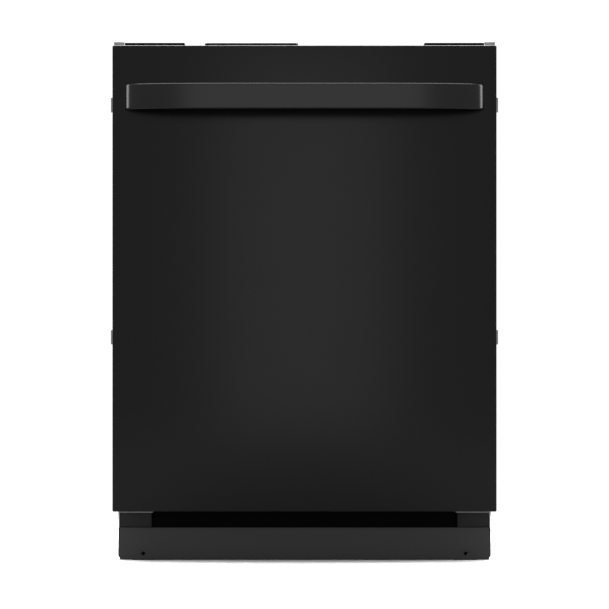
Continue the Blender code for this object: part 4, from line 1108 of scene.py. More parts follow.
def slot_tool(centre, length, width, depth):
    """A rounded slot's punch, standing along Z and driven along X."""
    straight = (length - width) / 2
    outline = []
    for way in (1, -1):
        for step in range(9):
            turn = math.pi * step / 8
            outline.append((way * math.cos(turn) * width / 2, way * (straight + math.sin(turn) * width / 2)))
    rings = [[Vector(centre) + Vector((x, y, z)) for y, z in outline] for x in (-depth / 2, depth / 2)]
    return loft(rings, True, True)


def build_uprights():
    """Galvanised side uprights with their slots, the clips to the cabinet and the counter brackets."""
    web_x, face_x, middle_y, slot_pitch = 0.2957, 0.2971, -0.194, 0.112
    rivet_heights = (0.135, 0.237, 0.461, 0.573, 0.685, 0.797)
    for word, side in SIDES.items():
        node = f"side_upright_{word}"
        slot = slot_tool((side * web_x, middle_y, 0.18), 0.022, 0.008, 0.012)
        tool = rows(slot, 6, (0, 0, slot_pitch), "galvanised_steel")
        mesh = punched(solid_copy(node, False), tool)
        bevelled(piece(f"{node}_body", mesh, "cabinet", "galvanised_steel", None, (node,)), 0.0003)
        places = [(side * face_x, middle_y, z) for z in rivet_heights]
        screws(f"upright_rivets_{word}", "cabinet", places, (side, 0, 0), radius=0.003)
        for level in ("lower", "upper"):
            refined(f"side_clip_{level}_{word}", 0.0003)
            clip_low, clip_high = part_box(f"side_clip_{level}_{word}")
            middle = (clip_low + clip_high) / 2
            place = (side * (abs(middle.x) - 0.002), clip_low.y + 0.006, clip_low.z + 0.0015)
            piece(f"clip_rivet_{level}_{word}", screw_mesh(place, (0, 0, 1), 0.0022), "cabinet", "zinc_plate")
        x = sorted((side * 0.2876, side * 0.3035))
        tab = block_of(x, (-0.2125, -0.2113), (0.8135, 0.8248), 0.0004)
        x = sorted((side * 0.2885, side * 0.2953))
        plate = block_of(x, (-0.1990, -0.1978), (0.050, 0.0865), 0.0003)
        piece(f"upright_top_tab_{word}", tab, "cabinet", "galvanised_steel")
        piece(f"upright_plate_{word}", plate, "cabinet", "black_steel")
        build_counter_bracket(word)


def build_counter_bracket(word):
    """A black bracket with its holes, two screws and a front lip."""
    node = f"counter_bracket_{word}"
    low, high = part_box(node)
    middle = (low + high) / 2
    hole = drum_mesh((low.x + 0.016, middle.y, high.z), 0.0026, 0.010, "Z", sides=18)
    tool = rows(hole, 4, (0.021, 0, 0), "black_steel")
    mesh = punched(solid_copy(node, False), tool)
    bevelled(piece(f"{node}_body", mesh, "cabinet", "black_steel", None, (node,)), 0.0003)
    places = [(low.x + 0.0265 + 0.042 * i, middle.y, low.z + 0.0015) for i in range(2)]
    screws(f"bracket_screws_{word}", "cabinet", places, (0, 0, 1), radius=0.0032)
    lip = block_of(
        (low.x + 0.0003, high.x - 0.0003),
        (low.y + 0.0002, low.y + 0.0014),
        (low.z + 0.0004, high.z - 0.0002),
        0.0003,
    )
    piece(f"bracket_lip_{word}", lip, "cabinet", "black_steel")


def build_toe_boards():
    """The toe kick with its oval screw recesses, and the access panel behind it, whose ends carry lighter
    plates of painted light.
    """
    low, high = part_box("kick_panel")
    tools, heads = [], []
    for side in SIDES.values():
        x, z = side * 0.257, low.z + 0.0082
        bm = bmesh.new()
        add_drum(bm, (0, 0, 0), 0.0055, 0.0014, "Y", sides=28)
        bmesh.ops.scale(bm, vec=(2.1, 1, 1), verts=bm.verts)
        bmesh.ops.translate(bm, vec=(x, low.y, z), verts=bm.verts)
        tools.append(new_mesh("recess", bm))
        heads.append(screw_mesh((x, low.y + 0.0008, z), (0, -1, 0), 0.0030, 0.0010))
    mesh = punched(solid_copy("kick_panel", False), joined(*tools))
    bevelled(piece("kick_board", mesh, "cabinet", "kick_paint", None, ("kick_panel",)), 0.0004)
    piece("kick_screws", joined(*heads), "cabinet", "zinc_plate", "black_steel", angle=0.7)
    tabs = [
        block_of(
            (side * 0.256 - 0.019, side * 0.256 + 0.019),
            (low.y + 0.0004, high.y),
            (low.z - 0.0024, low.z + 0.001),
            0.0005,
        )
        for side in SIDES.values()
    ]
    piece("kick_tabs", joined(*tabs), "cabinet", "black_plastic")
    lip = block_of(
        (low.x + 0.003, high.x - 0.003),
        (low.y + 0.0002, low.y + 0.0022),
        (high.z - 0.0008, high.z + 0.0004),
        0.0003,
    )
    piece("kick_top_fold", lip, "cabinet", "kick_paint")
    hem = block_of(
        (low.x + 0.0022, high.x - 0.0022), (low.y + 0.0003, high.y), (low.z - 0.0020, low.z + 0.0024), 0.0006
    )
    piece("kick_lower_fold", hem, "cabinet", "kick_paint")
    refined("access_panel", 0.0005)
    low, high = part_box("access_panel")
    # thin lighter plates at both ends of the access panel: painted light falling into the gap from the sides
    for word, side in SIDES.items():
        x = sorted((side * 0.244, side * 0.2932))
        plate = block_of(x, (low.y - 0.0006, low.y + 0.0004), (0.050, high.z - 0.0006), 0.0002)
        piece(f"gap_end_light_plate_{word}", plate, "cabinet", "black_steel", "worn_black")
    heads = [(side * 0.278, high.y - 0.0125, high.z - 0.060) for side in (-1, 1)]
    screws("access_screws", "cabinet", heads, (0, -1, 0), radius=0.0038)


def build_base():
    """The base pan and the four threaded levelling legs."""
    refined("base_frame", 0.0005)
    for row in ROWS:
        for word in SIDES:
            build_leg(f"leg_{row}_{word}")
    places = [(side * 0.2925, y, 0.045) for side in (-1, 1) for y in (-0.10, 0.05, 0.20)]
    for word, side in SIDES.items():
        spots = [p for p in places if p[0] * side > 0]
        screws(f"base_screws_{word}", "cabinet", spots, (side, 0, 0), radius=0.0036)


def build_leg(node):
    low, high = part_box(node)
    centre = ((low.x + high.x) / 2, (low.y + high.y) / 2)
    r = (high.x - low.x) / 2
    profile = [
        (0, 0), (r * 0.92, 0), (r, 0.0010), (r, 0.0052), (r * 0.86, 0.0072), (r * 0.5, 0.008), (0, 0.008)
    ]
    foot = turned(profile[::-1], centre, 40)
    nut = drum_mesh((*centre, 0.0125), 0.0085, 0.009, "Z", sides=6)
    rod = drum_mesh((*centre, (0.017 + high.z) / 2), 0.0043, high.z - 0.017, "Z", sides=20)
    ridge = ridge_ring(0.0040, 0.0050, 0.0009, 0.0003, 14)
    ridge = placed(ridge, Matrix.Translation((*centre, 0.019)))
    thread_pitch = 0.0022
    count = int((high.z - 0.022) / thread_pitch)
    thread = rows(ridge, count, (0, 0, thread_pitch), "zinc_plate")
    body = BODY_OF[node]
    piece(f"{node}_foot", joined(foot, nut), body, SLOT_OF[node], "zinc_plate", (node,), 0.6)
    piece(f"{node}_thread", joined(rod, thread), body, SLOT_OF[node], "zinc_plate", (), 0.8)


def quilt_lines(start, end, pitch):
    """Samples that crowd towards the stitch lines, each with its distance to the nearest."""
    count = max(1, round((end - start) / pitch))
    cell = (end - start) / count
    near = (0, 0.0022, 0.005, 0.011, 0.024)
    offsets = sorted({*near, cell / 2, *[cell - n for n in near]})[:-1]
    values = [(start + i * cell + o, min(o, cell - o)) for i in range(count) for o in offsets]
    return [*values, (end, 0.0)]


PUCKER_DEPTH = 0.0022
PUCKER_WIDTH = 0.006


def pucker(first, second):
    """How far a quilted face sinks beside its stitch lines."""
    return PUCKER_DEPTH * math.exp(-first / PUCKER_WIDTH) + PUCKER_DEPTH * math.exp(-second / PUCKER_WIDTH)


def build_blanket():
    """The felt sound blanket round the tub: a stitched wrap and a stitched back."""
    pitch = bpy.context.scene.dishwasher_sizes.quilt
    low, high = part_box("sound_blanket")
    rise, width = high.z - low.z, high.x - low.x
    total = 2 * rise + width
    bend = 0.010

    def around(s, sink):
        if s < rise:
            x, z, turn = low.x, low.z + s, (1, 0)
        elif s < rise + width:
            x, z, turn = low.x + s - rise, high.z, (0, -1)
        else:
            x, z, turn = high.x, high.z - (s - rise - width), (-1, 0)
        x, z = x + turn[0] * sink, z + turn[1] * sink
        corner = max(0, abs(x) - (high.x - bend)), max(0, z - (high.z - bend))
        if corner[0] and corner[1]:
            reach = math.hypot(*corner)
            scale = bend / max(reach, bend)
            x = math.copysign(high.x - bend + corner[0] * scale, x)
            z = high.z - bend + corner[1] * scale
        return x, z

    lines = quilt_lines(low.y, high.y - 0.001, pitch)
    turns = quilt_lines(0, rise, pitch) + quilt_lines(rise, rise + width, pitch)[1:]
    turns += quilt_lines(rise + width, total, pitch)[1:]

    def place(turn, line):
        x, z = around(turn[0], pucker(turn[1], line[1]))
        return (x, line[0], z)

    wrap = grid_sheet(turns, lines, place)
    if sum(p.normal.z for p in wrap.polygons if p.center.z > high.z - 0.004) < 0:
        wrap.flip_normals()
    felt = piece("blanket_wrap", wrap, "cabinet", "sound_felt", None, ("sound_blanket",), 1.2)
    thickened(felt, 0.0034)
    columns = quilt_lines(low.x + 0.003, high.x - 0.003, pitch)
    levels = quilt_lines(low.z, high.z - 0.003, pitch)

    def back(column, level):
        return (column[0], high.y - 0.0006 - pucker(column[1], level[1]), level[0])

    rear = grid_sheet(columns, levels, back)
    if sum(p.normal.y for p in rear.polygons) < 0:
        rear.flip_normals()
    felt = piece("blanket_back", rear, "cabinet", "sound_felt", None, (), 1.2)
    thickened(felt, 0.0030)
    stitch_lines(low, high, pitch)
    tapes = [
        block_of(
            (side * 0.278 - 0.014, side * 0.278 + 0.014),
            (high.y - 0.0010, high.y - 0.0002),
            (low.z + 0.004, high.z - 0.006),
            0.0003,
        )
        for side in SIDES.values()
    ]
    tapes.append(
        block_of(
            (-0.264, 0.264), (high.y - 0.0010, high.y - 0.0002), (high.z - 0.034, high.z - 0.006), 0.0003
        )
    )
    piece("blanket_tape", joined(*tapes), "cabinet", "sound_felt", "foil_tape")


def stitch_lines(low, high, pitch):
    """Rows of stitches down the blanket's sides and back."""
    rise, deep, width = high.z - low.z, high.y - low.y, high.x - low.x
    stitch = 0.0055
    rings = []
    count = max(1, round((deep - 0.001) / pitch))
    for side in SIDES.values():
        x = side * (high.x - 0.0036)
        thread = block_of(
            (x - 0.0006, x + 0.0006), (low.y - 0.0004, low.y + 0.0004), (low.z + 0.004, low.z + 0.0075)
        )
        values = (0, (deep - 0.001) / count, 0)
        number = int((rise - 0.012) / stitch)
        rings.append(rows(thread, number, (0, 0, stitch), "seal_rubber", count, values))
    count = max(1, round((width - 0.006) / pitch))
    y = high.y - 0.0042
    thread = block_of(
        (low.x + 0.0026, low.x + 0.0034), (y - 0.0006, y + 0.0006), (low.z + 0.004, low.z + 0.0075)
    )
    number = int((rise - 0.046) / stitch)
    rings.append(rows(thread, number, (0, 0, stitch), "seal_rubber", count, ((width - 0.006) / count, 0, 0)))
    piece("blanket_stitches", joined(*rings), "cabinet", "sound_felt", "seal_rubber")


def build_pads():
    """The loose felt pad on the tub's top and the damping sheet inside the door."""
    low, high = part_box("top_sound_pad")
    centre = (low + high) / 2
    bm = bmesh.new()
    add_block(bm, (low.x, high.x), (low.y, high.y), (low.z, high.z))
    bmesh.ops.subdivide_edges(bm, edges=bm.edges, cuts=11, use_grid_fill=True)
    for vert in bm.verts:
        u = abs(vert.co.x - centre.x) / (high.x - centre.x)
        v = abs(vert.co.y - centre.y) / (high.y - centre.y)
        crown = (1 - u**4) * (1 - v**4)
        wave = 0.0006 * math.sin(vert.co.x * 210) * math.sin(vert.co.y * 170)
        pull = 0.9 + 0.1 * (1 - max(u, v) ** 6)
        vert.co.z = centre.z + (vert.co.z - centre.z) * (0.98 + 0.12 * crown) + wave * crown
        squeeze = 1 - 0.018 * (1 - min(u, v) ** 2) * pull
        vert.co.x = centre.x + (vert.co.x - centre.x) * squeeze
        vert.co.y = centre.y + (vert.co.y - centre.y) * squeeze
    shift = low.z - min(v.co.z for v in bm.verts)
    bmesh.ops.translate(bm, vec=(0, 0, shift), verts=bm.verts)
    pad = piece("top_pad", new_mesh("pad", bm), "cabinet", "sound_felt", "dark_felt", ("top_sound_pad",), 1.2)
    rounding = pad.modifiers.new("rounding", "SUBSURF")
    rounding.levels = rounding.render_levels = 1
    low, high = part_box("door_sound_sheet")
    columns = quilt_lines(low.x, high.x, 0.095)
    levels = quilt_lines(low.z, high.z, 0.095)

    def face(column, level):
        return (column[0], high.y - pucker(column[1], level[1]) * 0.4, level[0])

    mesh = grid_sheet(columns, levels, face)
    if sum(p.normal.y for p in mesh.polygons) < 0:
        mesh.flip_normals()
    sheet = piece("door_damping", mesh, "door", "sound_felt", None, ("door_sound_sheet",), 1.2)
    thickened(sheet, 0.0018)


# ---------------------------------------------------------------- tub and wash parts


def build_tub():
    """The stainless tub: a pressed box with rounded corners, beads and wheel ledges."""
    low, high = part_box("tub")
    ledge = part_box("sound_blanket")[0].z
    well = high.x - 0.043
    rings = []
    stations = [(low.y, 0)]
    for start in (-0.155, -0.04, 0.075, 0.19):
        stations += [(start, 0), (start + 0.006, 0.0016), (start + 0.022, 0.0016), (start + 0.028, 0)]
    bend = 0.014
    for step in range(6):
        angle = math.pi / 2 * step / 5
        stations.append((high.y - bend + bend * math.sin(angle), bend * (1 - math.cos(angle))))
    for y, inset in stations:
        deep = 0.0 if inset < 0.002 else inset
        corners = [
            (well - deep, y, low.z + min(inset, deep)),
            (well - deep, y, ledge + deep * 0.6),
            (high.x - inset, y, ledge + 0.0004 + deep),
            (high.x - inset, y, high.z - inset),
            (inset - high.x, y, high.z - inset),
            (inset - high.x, y, ledge + 0.0004 + deep),
            (deep - well, y, ledge + deep * 0.6),
            (deep - well, y, low.z + min(inset, deep)),
        ]
        rings.append(round_corners(corners, True, 0.014, 5))
    bm = bmesh.new()
    bm.from_mesh(loft(rings))
    bm.verts.ensure_lookup_table()
    count = len(rings[-1])
    bm.faces.new(bm.verts[-count:])
    bmesh.ops.recalc_face_normals(bm, faces=bm.faces)
    shell = new_mesh("shell", bm)
    if sum(p.normal.z for p in shell.polygons if p.center.z > high.z - 0.01) < 0:
        shell.flip_normals()
    item = bpy.data.objects.new("shell", shell)
    bpy.context.scene.collection.objects.link(item)
    thickened(item, 0.001)
    bpy.context.view_layer.update()
    walls = bpy.data.meshes.new_from_object(item.evaluated_get(bpy.context.evaluated_depsgraph_get()))
    bpy.data.objects.remove(item)
    hole = drum_mesh((0, 0.030, low.z), 0.0895, 0.04, "Z", sides=64)
    piece("tub_liner", punched(walls, hole), "cabinet", "stainless_steel", "liner_steel", ("tub",), 0.7)


def build_gasket():
    """The door seal: a rounded hollow bead with a lip, round the tub's mouth."""
    low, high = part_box("door_gasket")
    middle, half = (low.y + high.y) / 2, (high.y - low.y) / 2
    rings = []
    for step in range(14):
        angle = 2 * math.pi * step / 14
        squash = 0.72 if 0.2 < angle < 2.9 else 1.0
        inset = 0.0050 + 0.0048 * math.cos(angle)
        y = middle + half * math.sin(angle) * squash
        rings.append(rounded_frame(high.x - inset, low.z + inset, high.z - inset, 0.016, y, 6))
    rings.append(rings[0])
    bm = bmesh.new()
    bm.from_mesh(loft(rings))
    bmesh.ops.remove_doubles(bm, verts=bm.verts, dist=1e-6)
    bmesh.ops.recalc_face_normals(bm, faces=bm.faces)
    piece("door_seal", new_mesh("seal", bm), "cabinet", "seal_rubber", None, ("door_gasket",), 1.2)


def rack_frame(low, high, wires, name, body, tines):
    """The wires of a rack between two corners: hoops both ways, rims, and rows of tines."""
    sizes = bpy.context.scene.dishwasher_sizes
    half, floor, rim = high.x - 0.003, low.z + 0.003, high.z - 0.003
    front, rear = low.y + 0.003, high.y - 0.003
    loops = [tube(ring_path(half, front, rear, z), sizes.rim_wire, True, True) for z in (rim, floor + 0.002)]
    loops.append(tube(ring_path(half + 0.0004, front, rear, (floor + rim) / 2), sizes.wire, True, True))
    deep = max(2, round((rear - front - 0.016) / sizes.wire_pitch))
    step = (rear - front - 0.016) / deep
    hoop = tube(
        [
            (-half, front + 0.008, rim),
            (-half, front + 0.008, floor),
            (half, front + 0.008, floor),
            (half, front + 0.008, rim),
        ],
        sizes.wire,
    )
    across = rows(hoop, deep + 1, (0, step, 0), "coated_wire")
    lanes = 12
    lane = 2 * (half - 0.010) / lanes
    x = 0.010 - half
    z = floor + 0.0028
    hoop = tube([(x, front, rim), (x, front, z), (x, rear, z), (x, rear, rim)], sizes.wire)
    along = rows(hoop, lanes + 1, (lane, 0, 0), "coated_wire")
    piece(name, joined(*loops, across, along), body, "coated_wire", None, wires, 1.0)
    for number, (near, far, x, width, height) in enumerate(tines):
        count = max(2, int((far - near) / sizes.wire_pitch))
        bar = [(x - width / 2, near, z + 0.003), (x + width / 2, near, z + 0.003)]
        tine = [(x - width / 2, near, z + 0.003), (x - width / 2, near + 0.006, z + 0.003 + height)]
        both = joined(
            tube(bar, sizes.wire * 0.8, False),
            tube(tine, sizes.wire, False),
            placed(tube(tine, sizes.wire, False), Matrix.Translation((width, 0, 0))),
        )
        item = rows(both, count, (0, (far - near) / count, 0), "coated_wire")
        piece(f"{name}_tines_{number + 1}", item, body, "coated_wire", None, (), 1.0)


def ring_path(half, front, rear, z):
    return [(-half, front, z), (half, front, z), (half, rear, z), (-half, rear, z)]


def rack_grip(rack, half, low, high):
    """The moulded grip in the middle of a rack's front rim."""
    grip = block_of(
        (-half, half), (low.y - 0.0004, low.y + 0.0060), (high.z - 0.011, high.z + 0.0002), 0.0022
    )
    piece(f"{rack}_grip", grip, rack, "grey_plastic")


def build_racks():
    """Both wire racks, with tines, cup shelves and grips."""
    tall = bpy.context.scene.dishwasher_sizes.tine_height
    low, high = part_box("lower_rack")
    back = high.y - 0.020
    tines = [(-0.085, back, x, 0.040, tall) for x in (-0.165, -0.075, 0.075, 0.165)]
    rack_frame(low, high, ("lower_rack",), "lower_rack_wires", "lower_rack", tines)
    rack_grip("lower_rack", 0.060, low, high)
    low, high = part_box("upper_rack")
    tines = [(low.y + 0.03, high.y - 0.03, x, 0.046, tall * 0.6) for x in (-0.125, 0.125)]
    rack_frame(low, high, ("upper_rack",), "upper_rack_wires", "upper_rack", tines)
    rack_grip("upper_rack", 0.075, low, high)
    for word, side in SIDES.items():
        build_cup_shelf(word, side, low, high)


def build_cup_shelf(word, side, low, high):
    """A slatted shelf on the upper rack's side."""
    outer, inner = side * (high.x - 0.010), side * (high.x - 0.092)
    z = low.z + 0.098
    x = sorted((outer, inner))
    slat = block_of(x, (low.y + 0.062, low.y + 0.066), (z, z + 0.0035), 0.0010)
    slats = rows(slat, 12, (0, 0.0152, 0), "grey_plastic")
    rails = [
        block_of((at - 0.0025, at + 0.0025), (low.y + 0.058, low.y + 0.238), (z - 0.001, z + 0.005), 0.0012)
        for at in (inner, outer, (inner + outer) / 2)
    ]
    piece(f"cup_shelf_{word}", joined(slats, *rails), "upper_rack", "grey_plastic")


def build_rollers():
    """The lower rack's spoked wheels with the brackets that hold them."""
    for row in ROWS:
        for word, side in SIDES.items():
            node = f"rack_wheel_{row}_{word}"
            low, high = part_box(node)
            centre = Vector((side * 0.25375, (low.y + high.y) / 2, (low.z + high.z) / 2))
            r, w = (high.z - low.z) / 2, 0.0049
            tyre = turned(
                [
                    (r - 0.0036, w),
                    (r - 0.0008, w),
                    (r, w * 0.6),
                    (r - 0.0005, 0),
                    (r, -w * 0.6),
                    (r - 0.0008, -w),
                    (r - 0.0036, -w),
                    (r - 0.0036, w),
                ],
                (0, 0),
                44,
            )
            hub = turned(
                [(0, w * 0.9), (0.0046, w * 0.9), (0.0052, w * 0.7), (0.0052, -w), (0, -w)], (0, 0), 24
            )
            spoke = block_of((0.0040, r - 0.0030), (-0.0011, 0.0011), (-w * 0.6, w * 0.6), 0.0004)
            spokes = grown("ring", spoke, {"Count": 7, "Material": PAINT["grey_plastic"]})
            web = drum_mesh((0, 0, 0), r - 0.003, w * 0.4, "Z", sides=32)
            turn = Matrix.Translation(centre) @ Matrix.Rotation(side * math.pi / 2, 4, "Y")
            mesh = placed(joined(tyre, hub, spokes, web), turn)
            piece(f"{node}_tyre", mesh, BODY_OF[node], SLOT_OF[node], None, (node,), 0.6)
            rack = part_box("lower_rack")[1].x
            x = sorted((side * (rack - 0.001), side * (rack + 0.0020)))
            y, z = centre.y, centre.z
            plate = block_of(x, (y - 0.011, y + 0.011), (z - 0.004, z + 0.034), 0.0009)
            piece(f"wheel_bracket_{row}_{word}", plate, "lower_rack", "grey_plastic")


def build_basket():
    """The silverware basket: a slotted bin with partitions and a carrying plate."""
    low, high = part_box("silverware_basket")
    top = high.z - 0.085
    floor = low.z
    paint = "grey_plastic"
    parts = []
    levels = (floor, floor + 0.045, floor + 0.090, top - 0.006)
    for y in (low.y, high.y - 0.0022):
        slat = block_of(
            (low.x + 0.003, low.x + 0.0052), (y, y + 0.0022), (floor + 0.002, top - 0.002), 0.0006
        )
        parts.append(rows(slat, 27, (0.00892, 0, 0), paint))
        for z in levels:
            parts.append(block_of((low.x, high.x), (y - 0.0001, y + 0.0024), (z, z + 0.006), 0.0008))
    for x in (low.x, high.x - 0.0022):
        slat = block_of(
            (x, x + 0.0022), (low.y + 0.003, low.y + 0.0052), (floor + 0.002, top - 0.002), 0.0006
        )
        parts.append(rows(slat, 8, (0, 0.0091, 0), paint))
        for z in levels:
            parts.append(block_of((x - 0.0001, x + 0.0023), (low.y, high.y), (z, z + 0.006), 0.0008))
    bar = block_of(
        (low.x + 0.002, high.x - 0.002),
        (low.y + 0.006, low.y + 0.008),
        (floor + 0.0005, floor + 0.003),
        0.0004,
    )
    parts.append(rows(bar, 8, (0, 0.0082, 0), paint))
    wall = block_of(
        (low.x + 0.060, low.x + 0.0615), (low.y + 0.002, high.y - 0.002), (floor + 0.002, top - 0.030), 0.0004
    )
    parts.append(rows(wall, 3, (0.060, 0, 0), paint))
    middle = (low.y + high.y) / 2
    plate = block_of(
        (low.x + 0.001, high.x - 0.001), (middle - 0.0013, middle + 0.0013), (floor + 0.002, high.z), 0.0008
    )
    hand = rounded_frame(0.045, top + 0.045, top + 0.073, 0.010, middle - 0.01)
    back = [(x, middle + 0.01, z) for x, _, z in hand]
    shoulders = [
        block_of(
            (side * 0.11 - 0.04, side * 0.11 + 0.04),
            (middle - 0.01, middle + 0.01),
            (top + 0.034, high.z + 0.01),
        )
        for side in (-1, 1)
    ]
    plate = punched(plate, joined(loft([hand, back], True, True), *shoulders))
    piece("silverware_bin", joined(*parts, plate), "lower_rack", paint, None, ("silverware_basket",), 0.5)


def build_rails():
    """The upper rack's rails with their rollers and end stops."""
    for word, side in SIDES.items():
        refined(f"upper_rail_{word}", 0.0003)
        refined(f"extension_rail_{word}", 0.0003)
        low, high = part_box(f"extension_rail_{word}")
        z = (low.z + high.z) / 2
        x = side * (abs(low.x + high.x) / 2 + 0.004)
        roller = drum_mesh((x, low.y + 0.035, z), 0.0112, 0.009, "X", sides=28)
        mesh = rows(roller, 2, (0, 0.30, 0), "grey_plastic")
        bevelled(
            piece(f"rail_rollers_{word}", mesh, "extension_rails", "grey_plastic", "pale_plastic"), 0.0008
        )
        inner = sorted((side * 0.2492, side * 0.2630))
        stop = block_of(inner, (low.y - 0.0004, low.y + 0.016), (low.z + 0.0004, high.z - 0.0004), 0.0018)
        piece(f"rail_stop_{word}", stop, "extension_rails", "grey_plastic")


ARM_CURVE = 0.0035
ARM_TAPER = 0.32
NOZZLES = (-0.90, -0.76, -0.61, -0.45, -0.28, 0.20, 0.36, 0.53, 0.69, 0.83, 0.91)


def arm_sections(reach, low, high):
    """Rounded sections along a spray arm, wide at the hub and narrow at the tips."""
    rings = []
    for step in range(25):
        t = -1 + step / 12
        root = 0.0205 - 0.0115 * abs(t) ** 1.2
        end = math.sqrt(max(0.0, 1 - max(0.0, (abs(t) - 0.93) / 0.07) ** 2))
        wide = max(0.0012, root * end)
        tall = (high - low) / 2 * (1 - ARM_TAPER * abs(t)) * max(0.25, end)
        shift = ARM_CURVE * math.sin(t * math.pi)
        middle = (low + high) / 2 - 0.0006
        ring = []
        for turn in range(18):
            a = 2 * math.pi * turn / 18
            c, s = math.cos(a), math.sin(a)
            y = wide * math.copysign(abs(c) ** 0.7, c) + shift
            z = tall * math.copysign(abs(s) ** 0.8, s)
            ring.append((t * reach, y, middle + z))
        rings.append(ring)
    return rings


def build_spray_arms():
    """Both spray arms: hollow contoured blades, raised nozzles and a domed hub."""
    for word in ("lower", "upper"):
        node = f"{word}_spray_arm"
        low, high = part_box(node)
        x, y = (low.x + high.x) / 2, (low.y + high.y) / 2
        blade_top = high.z - (0.004 if word == "lower" else 0.0)
        rings = arm_sections((high.x - low.x) / 2, low.z, blade_top)
        blade = placed(loft(rings, True, True), Matrix.Translation((x, y, 0)))
        profile = [
            (0, high.z),
            (0.011, high.z),
            (0.020, high.z - 0.003),
            (0.0275, low.z + 0.006),
            (0.0275, low.z + 0.001),
            (0.024, low.z),
            (0, low.z),
        ]
        hub = turned(profile, (x, y), 48)
        piece(f"{node}_blade", joined(blade, hub), BODY_OF[node], "grey_plastic", None, (node,), 0.8)
        spouts, jets = [], []
        for number, t in enumerate(NOZZLES):
            place = Vector((x + t * (high.x - low.x) / 2, y + ARM_CURVE * math.sin(t * math.pi), blade_top))
            place.z -= (blade_top - low.z) / 2 * ARM_TAPER * abs(t) + 0.0012
            spouts.append(drum_mesh(place, 0.0042, 0.0022, "Z", 0.0030, 18))
            slot = block_of((-0.0022, 0.0022), (-0.0006, 0.0006), (0.0008, 0.00125))
            turn = Matrix.Translation(place) @ Matrix.Rotation(0.5 * number, 4, "Z")
            jets.append(placed(slot, turn))
        piece(f"{node}_spouts", joined(*spouts), BODY_OF[node], "grey_plastic")
        piece(f"{node}_jets", joined(*jets), BODY_OF[node], "grey_plastic", "black_plastic")


SUMP_Y = 0.030


def build_wash_floor():
    """Sump, filter, float, water duct and heater."""
    refined("sump", 0.0005)
    refined("spray_manifold", 0.0008)
    plate_z = 0.1196
    bm = bmesh.new()
    for reach, count in ((0.062, 40), (0.068, 44), (0.074, 48), (0.080, 52)):
        for number in range(count):
            angle = 2 * math.pi * number / count
            place = Vector((reach * math.cos(angle), SUMP_Y + reach * math.sin(angle), plate_z))
            if (place.xy - Vector((0.051, SUMP_Y))).length > 0.040:
                add_drum(bm, place, 0.0015, 0.0006, "Z", sides=8)
    piece("strainer_holes", new_mesh("holes", bm), "cabinet", "grey_plastic", "black_plastic")
    build_filter()
    build_float()
    build_heater()
    for z in (0.25, 0.40, 0.62, 0.74):
        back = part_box("spray_manifold")[1].y
        clip = block_of((-0.019, 0.019), (back - 0.008, back - 0.001), (z, z + 0.012), 0.0015)
        piece(f"duct_clip_{int(z * 100)}", clip, "cabinet", "grey_plastic")


def build_filter():
    low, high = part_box("filter_cup")
    centre = ((low.x + high.x) / 2, (low.y + high.y) / 2)
    top = 0.123
    r, tip = (high.x - low.x) / 2, (high.x - low.x) / 4
    profile = [
        (0, top - 0.002), (r * 0.55, top - 0.002), (r * 0.72, top), (r, top - 0.0004), (r, top - 0.004)
    ]
    profile += [(r * 0.80, top - 0.007), (tip + 0.001, low.z + 0.002), (tip, low.z), (0, low.z)]
    bar = block_of(
        (centre[0] - r * 0.62, centre[0] + r * 0.62),
        (centre[1] - 0.003, centre[1] + 0.003),
        (top - 0.003, high.z),
        0.0016,
    )
    piece(
        "filter_body",
        joined(turned(profile, centre, 56), bar),
        "filter",
        "grey_plastic",
        None,
        ("filter_cup",),
        0.6,
    )
    rib = tube([(r * 0.80, 0, top - 0.007), (tip + 0.0014, 0, low.z + 0.002)], 0.0006, False)
    mesh = grown("ring", rib, {"Count": 36, "Material": PAINT["stainless_steel"]})
    piece("filter_mesh", placed(mesh, Matrix.Translation((*centre, 0))), "filter", "stainless_steel")
    mark = block_of(
        (centre[0] + r * 0.74, centre[0] + r * 0.9),
        (centre[1] - 0.0010, centre[1] + 0.0010),
        (top - 0.0006, top + 0.0004),
        0.0003,
    )
    piece("filter_mark", mark, "filter", "grey_plastic", "pale_plastic")


def build_float():
    low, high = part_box("float_cap")
    centre = ((low.x + high.x) / 2, (low.y + high.y) / 2)
    r = (high.x - low.x) / 2
    profile = [(0, high.z), (r * 0.4, high.z - 0.0006), (r * 0.75, high.z - 0.003), (r * 0.9, high.z - 0.007)]
    profile += [(r, low.z + 0.001), (r, low.z), (0, low.z)]
    rib = block_of((r * 0.86, r * 0.995), (-0.0007, 0.0007), (low.z + 0.0005, low.z + 0.012), 0.0002)
    ribs = placed(
        grown("ring", rib, {"Count": 18, "Material": PAINT["grey_plastic"]}), Matrix.Translation((*centre, 0))
    )
    piece(
        "float_dome",
        joined(turned(profile, centre, 44), ribs),
        "float",
        "grey_plastic",
        None,
        ("float_cap",),
        0.6,
    )


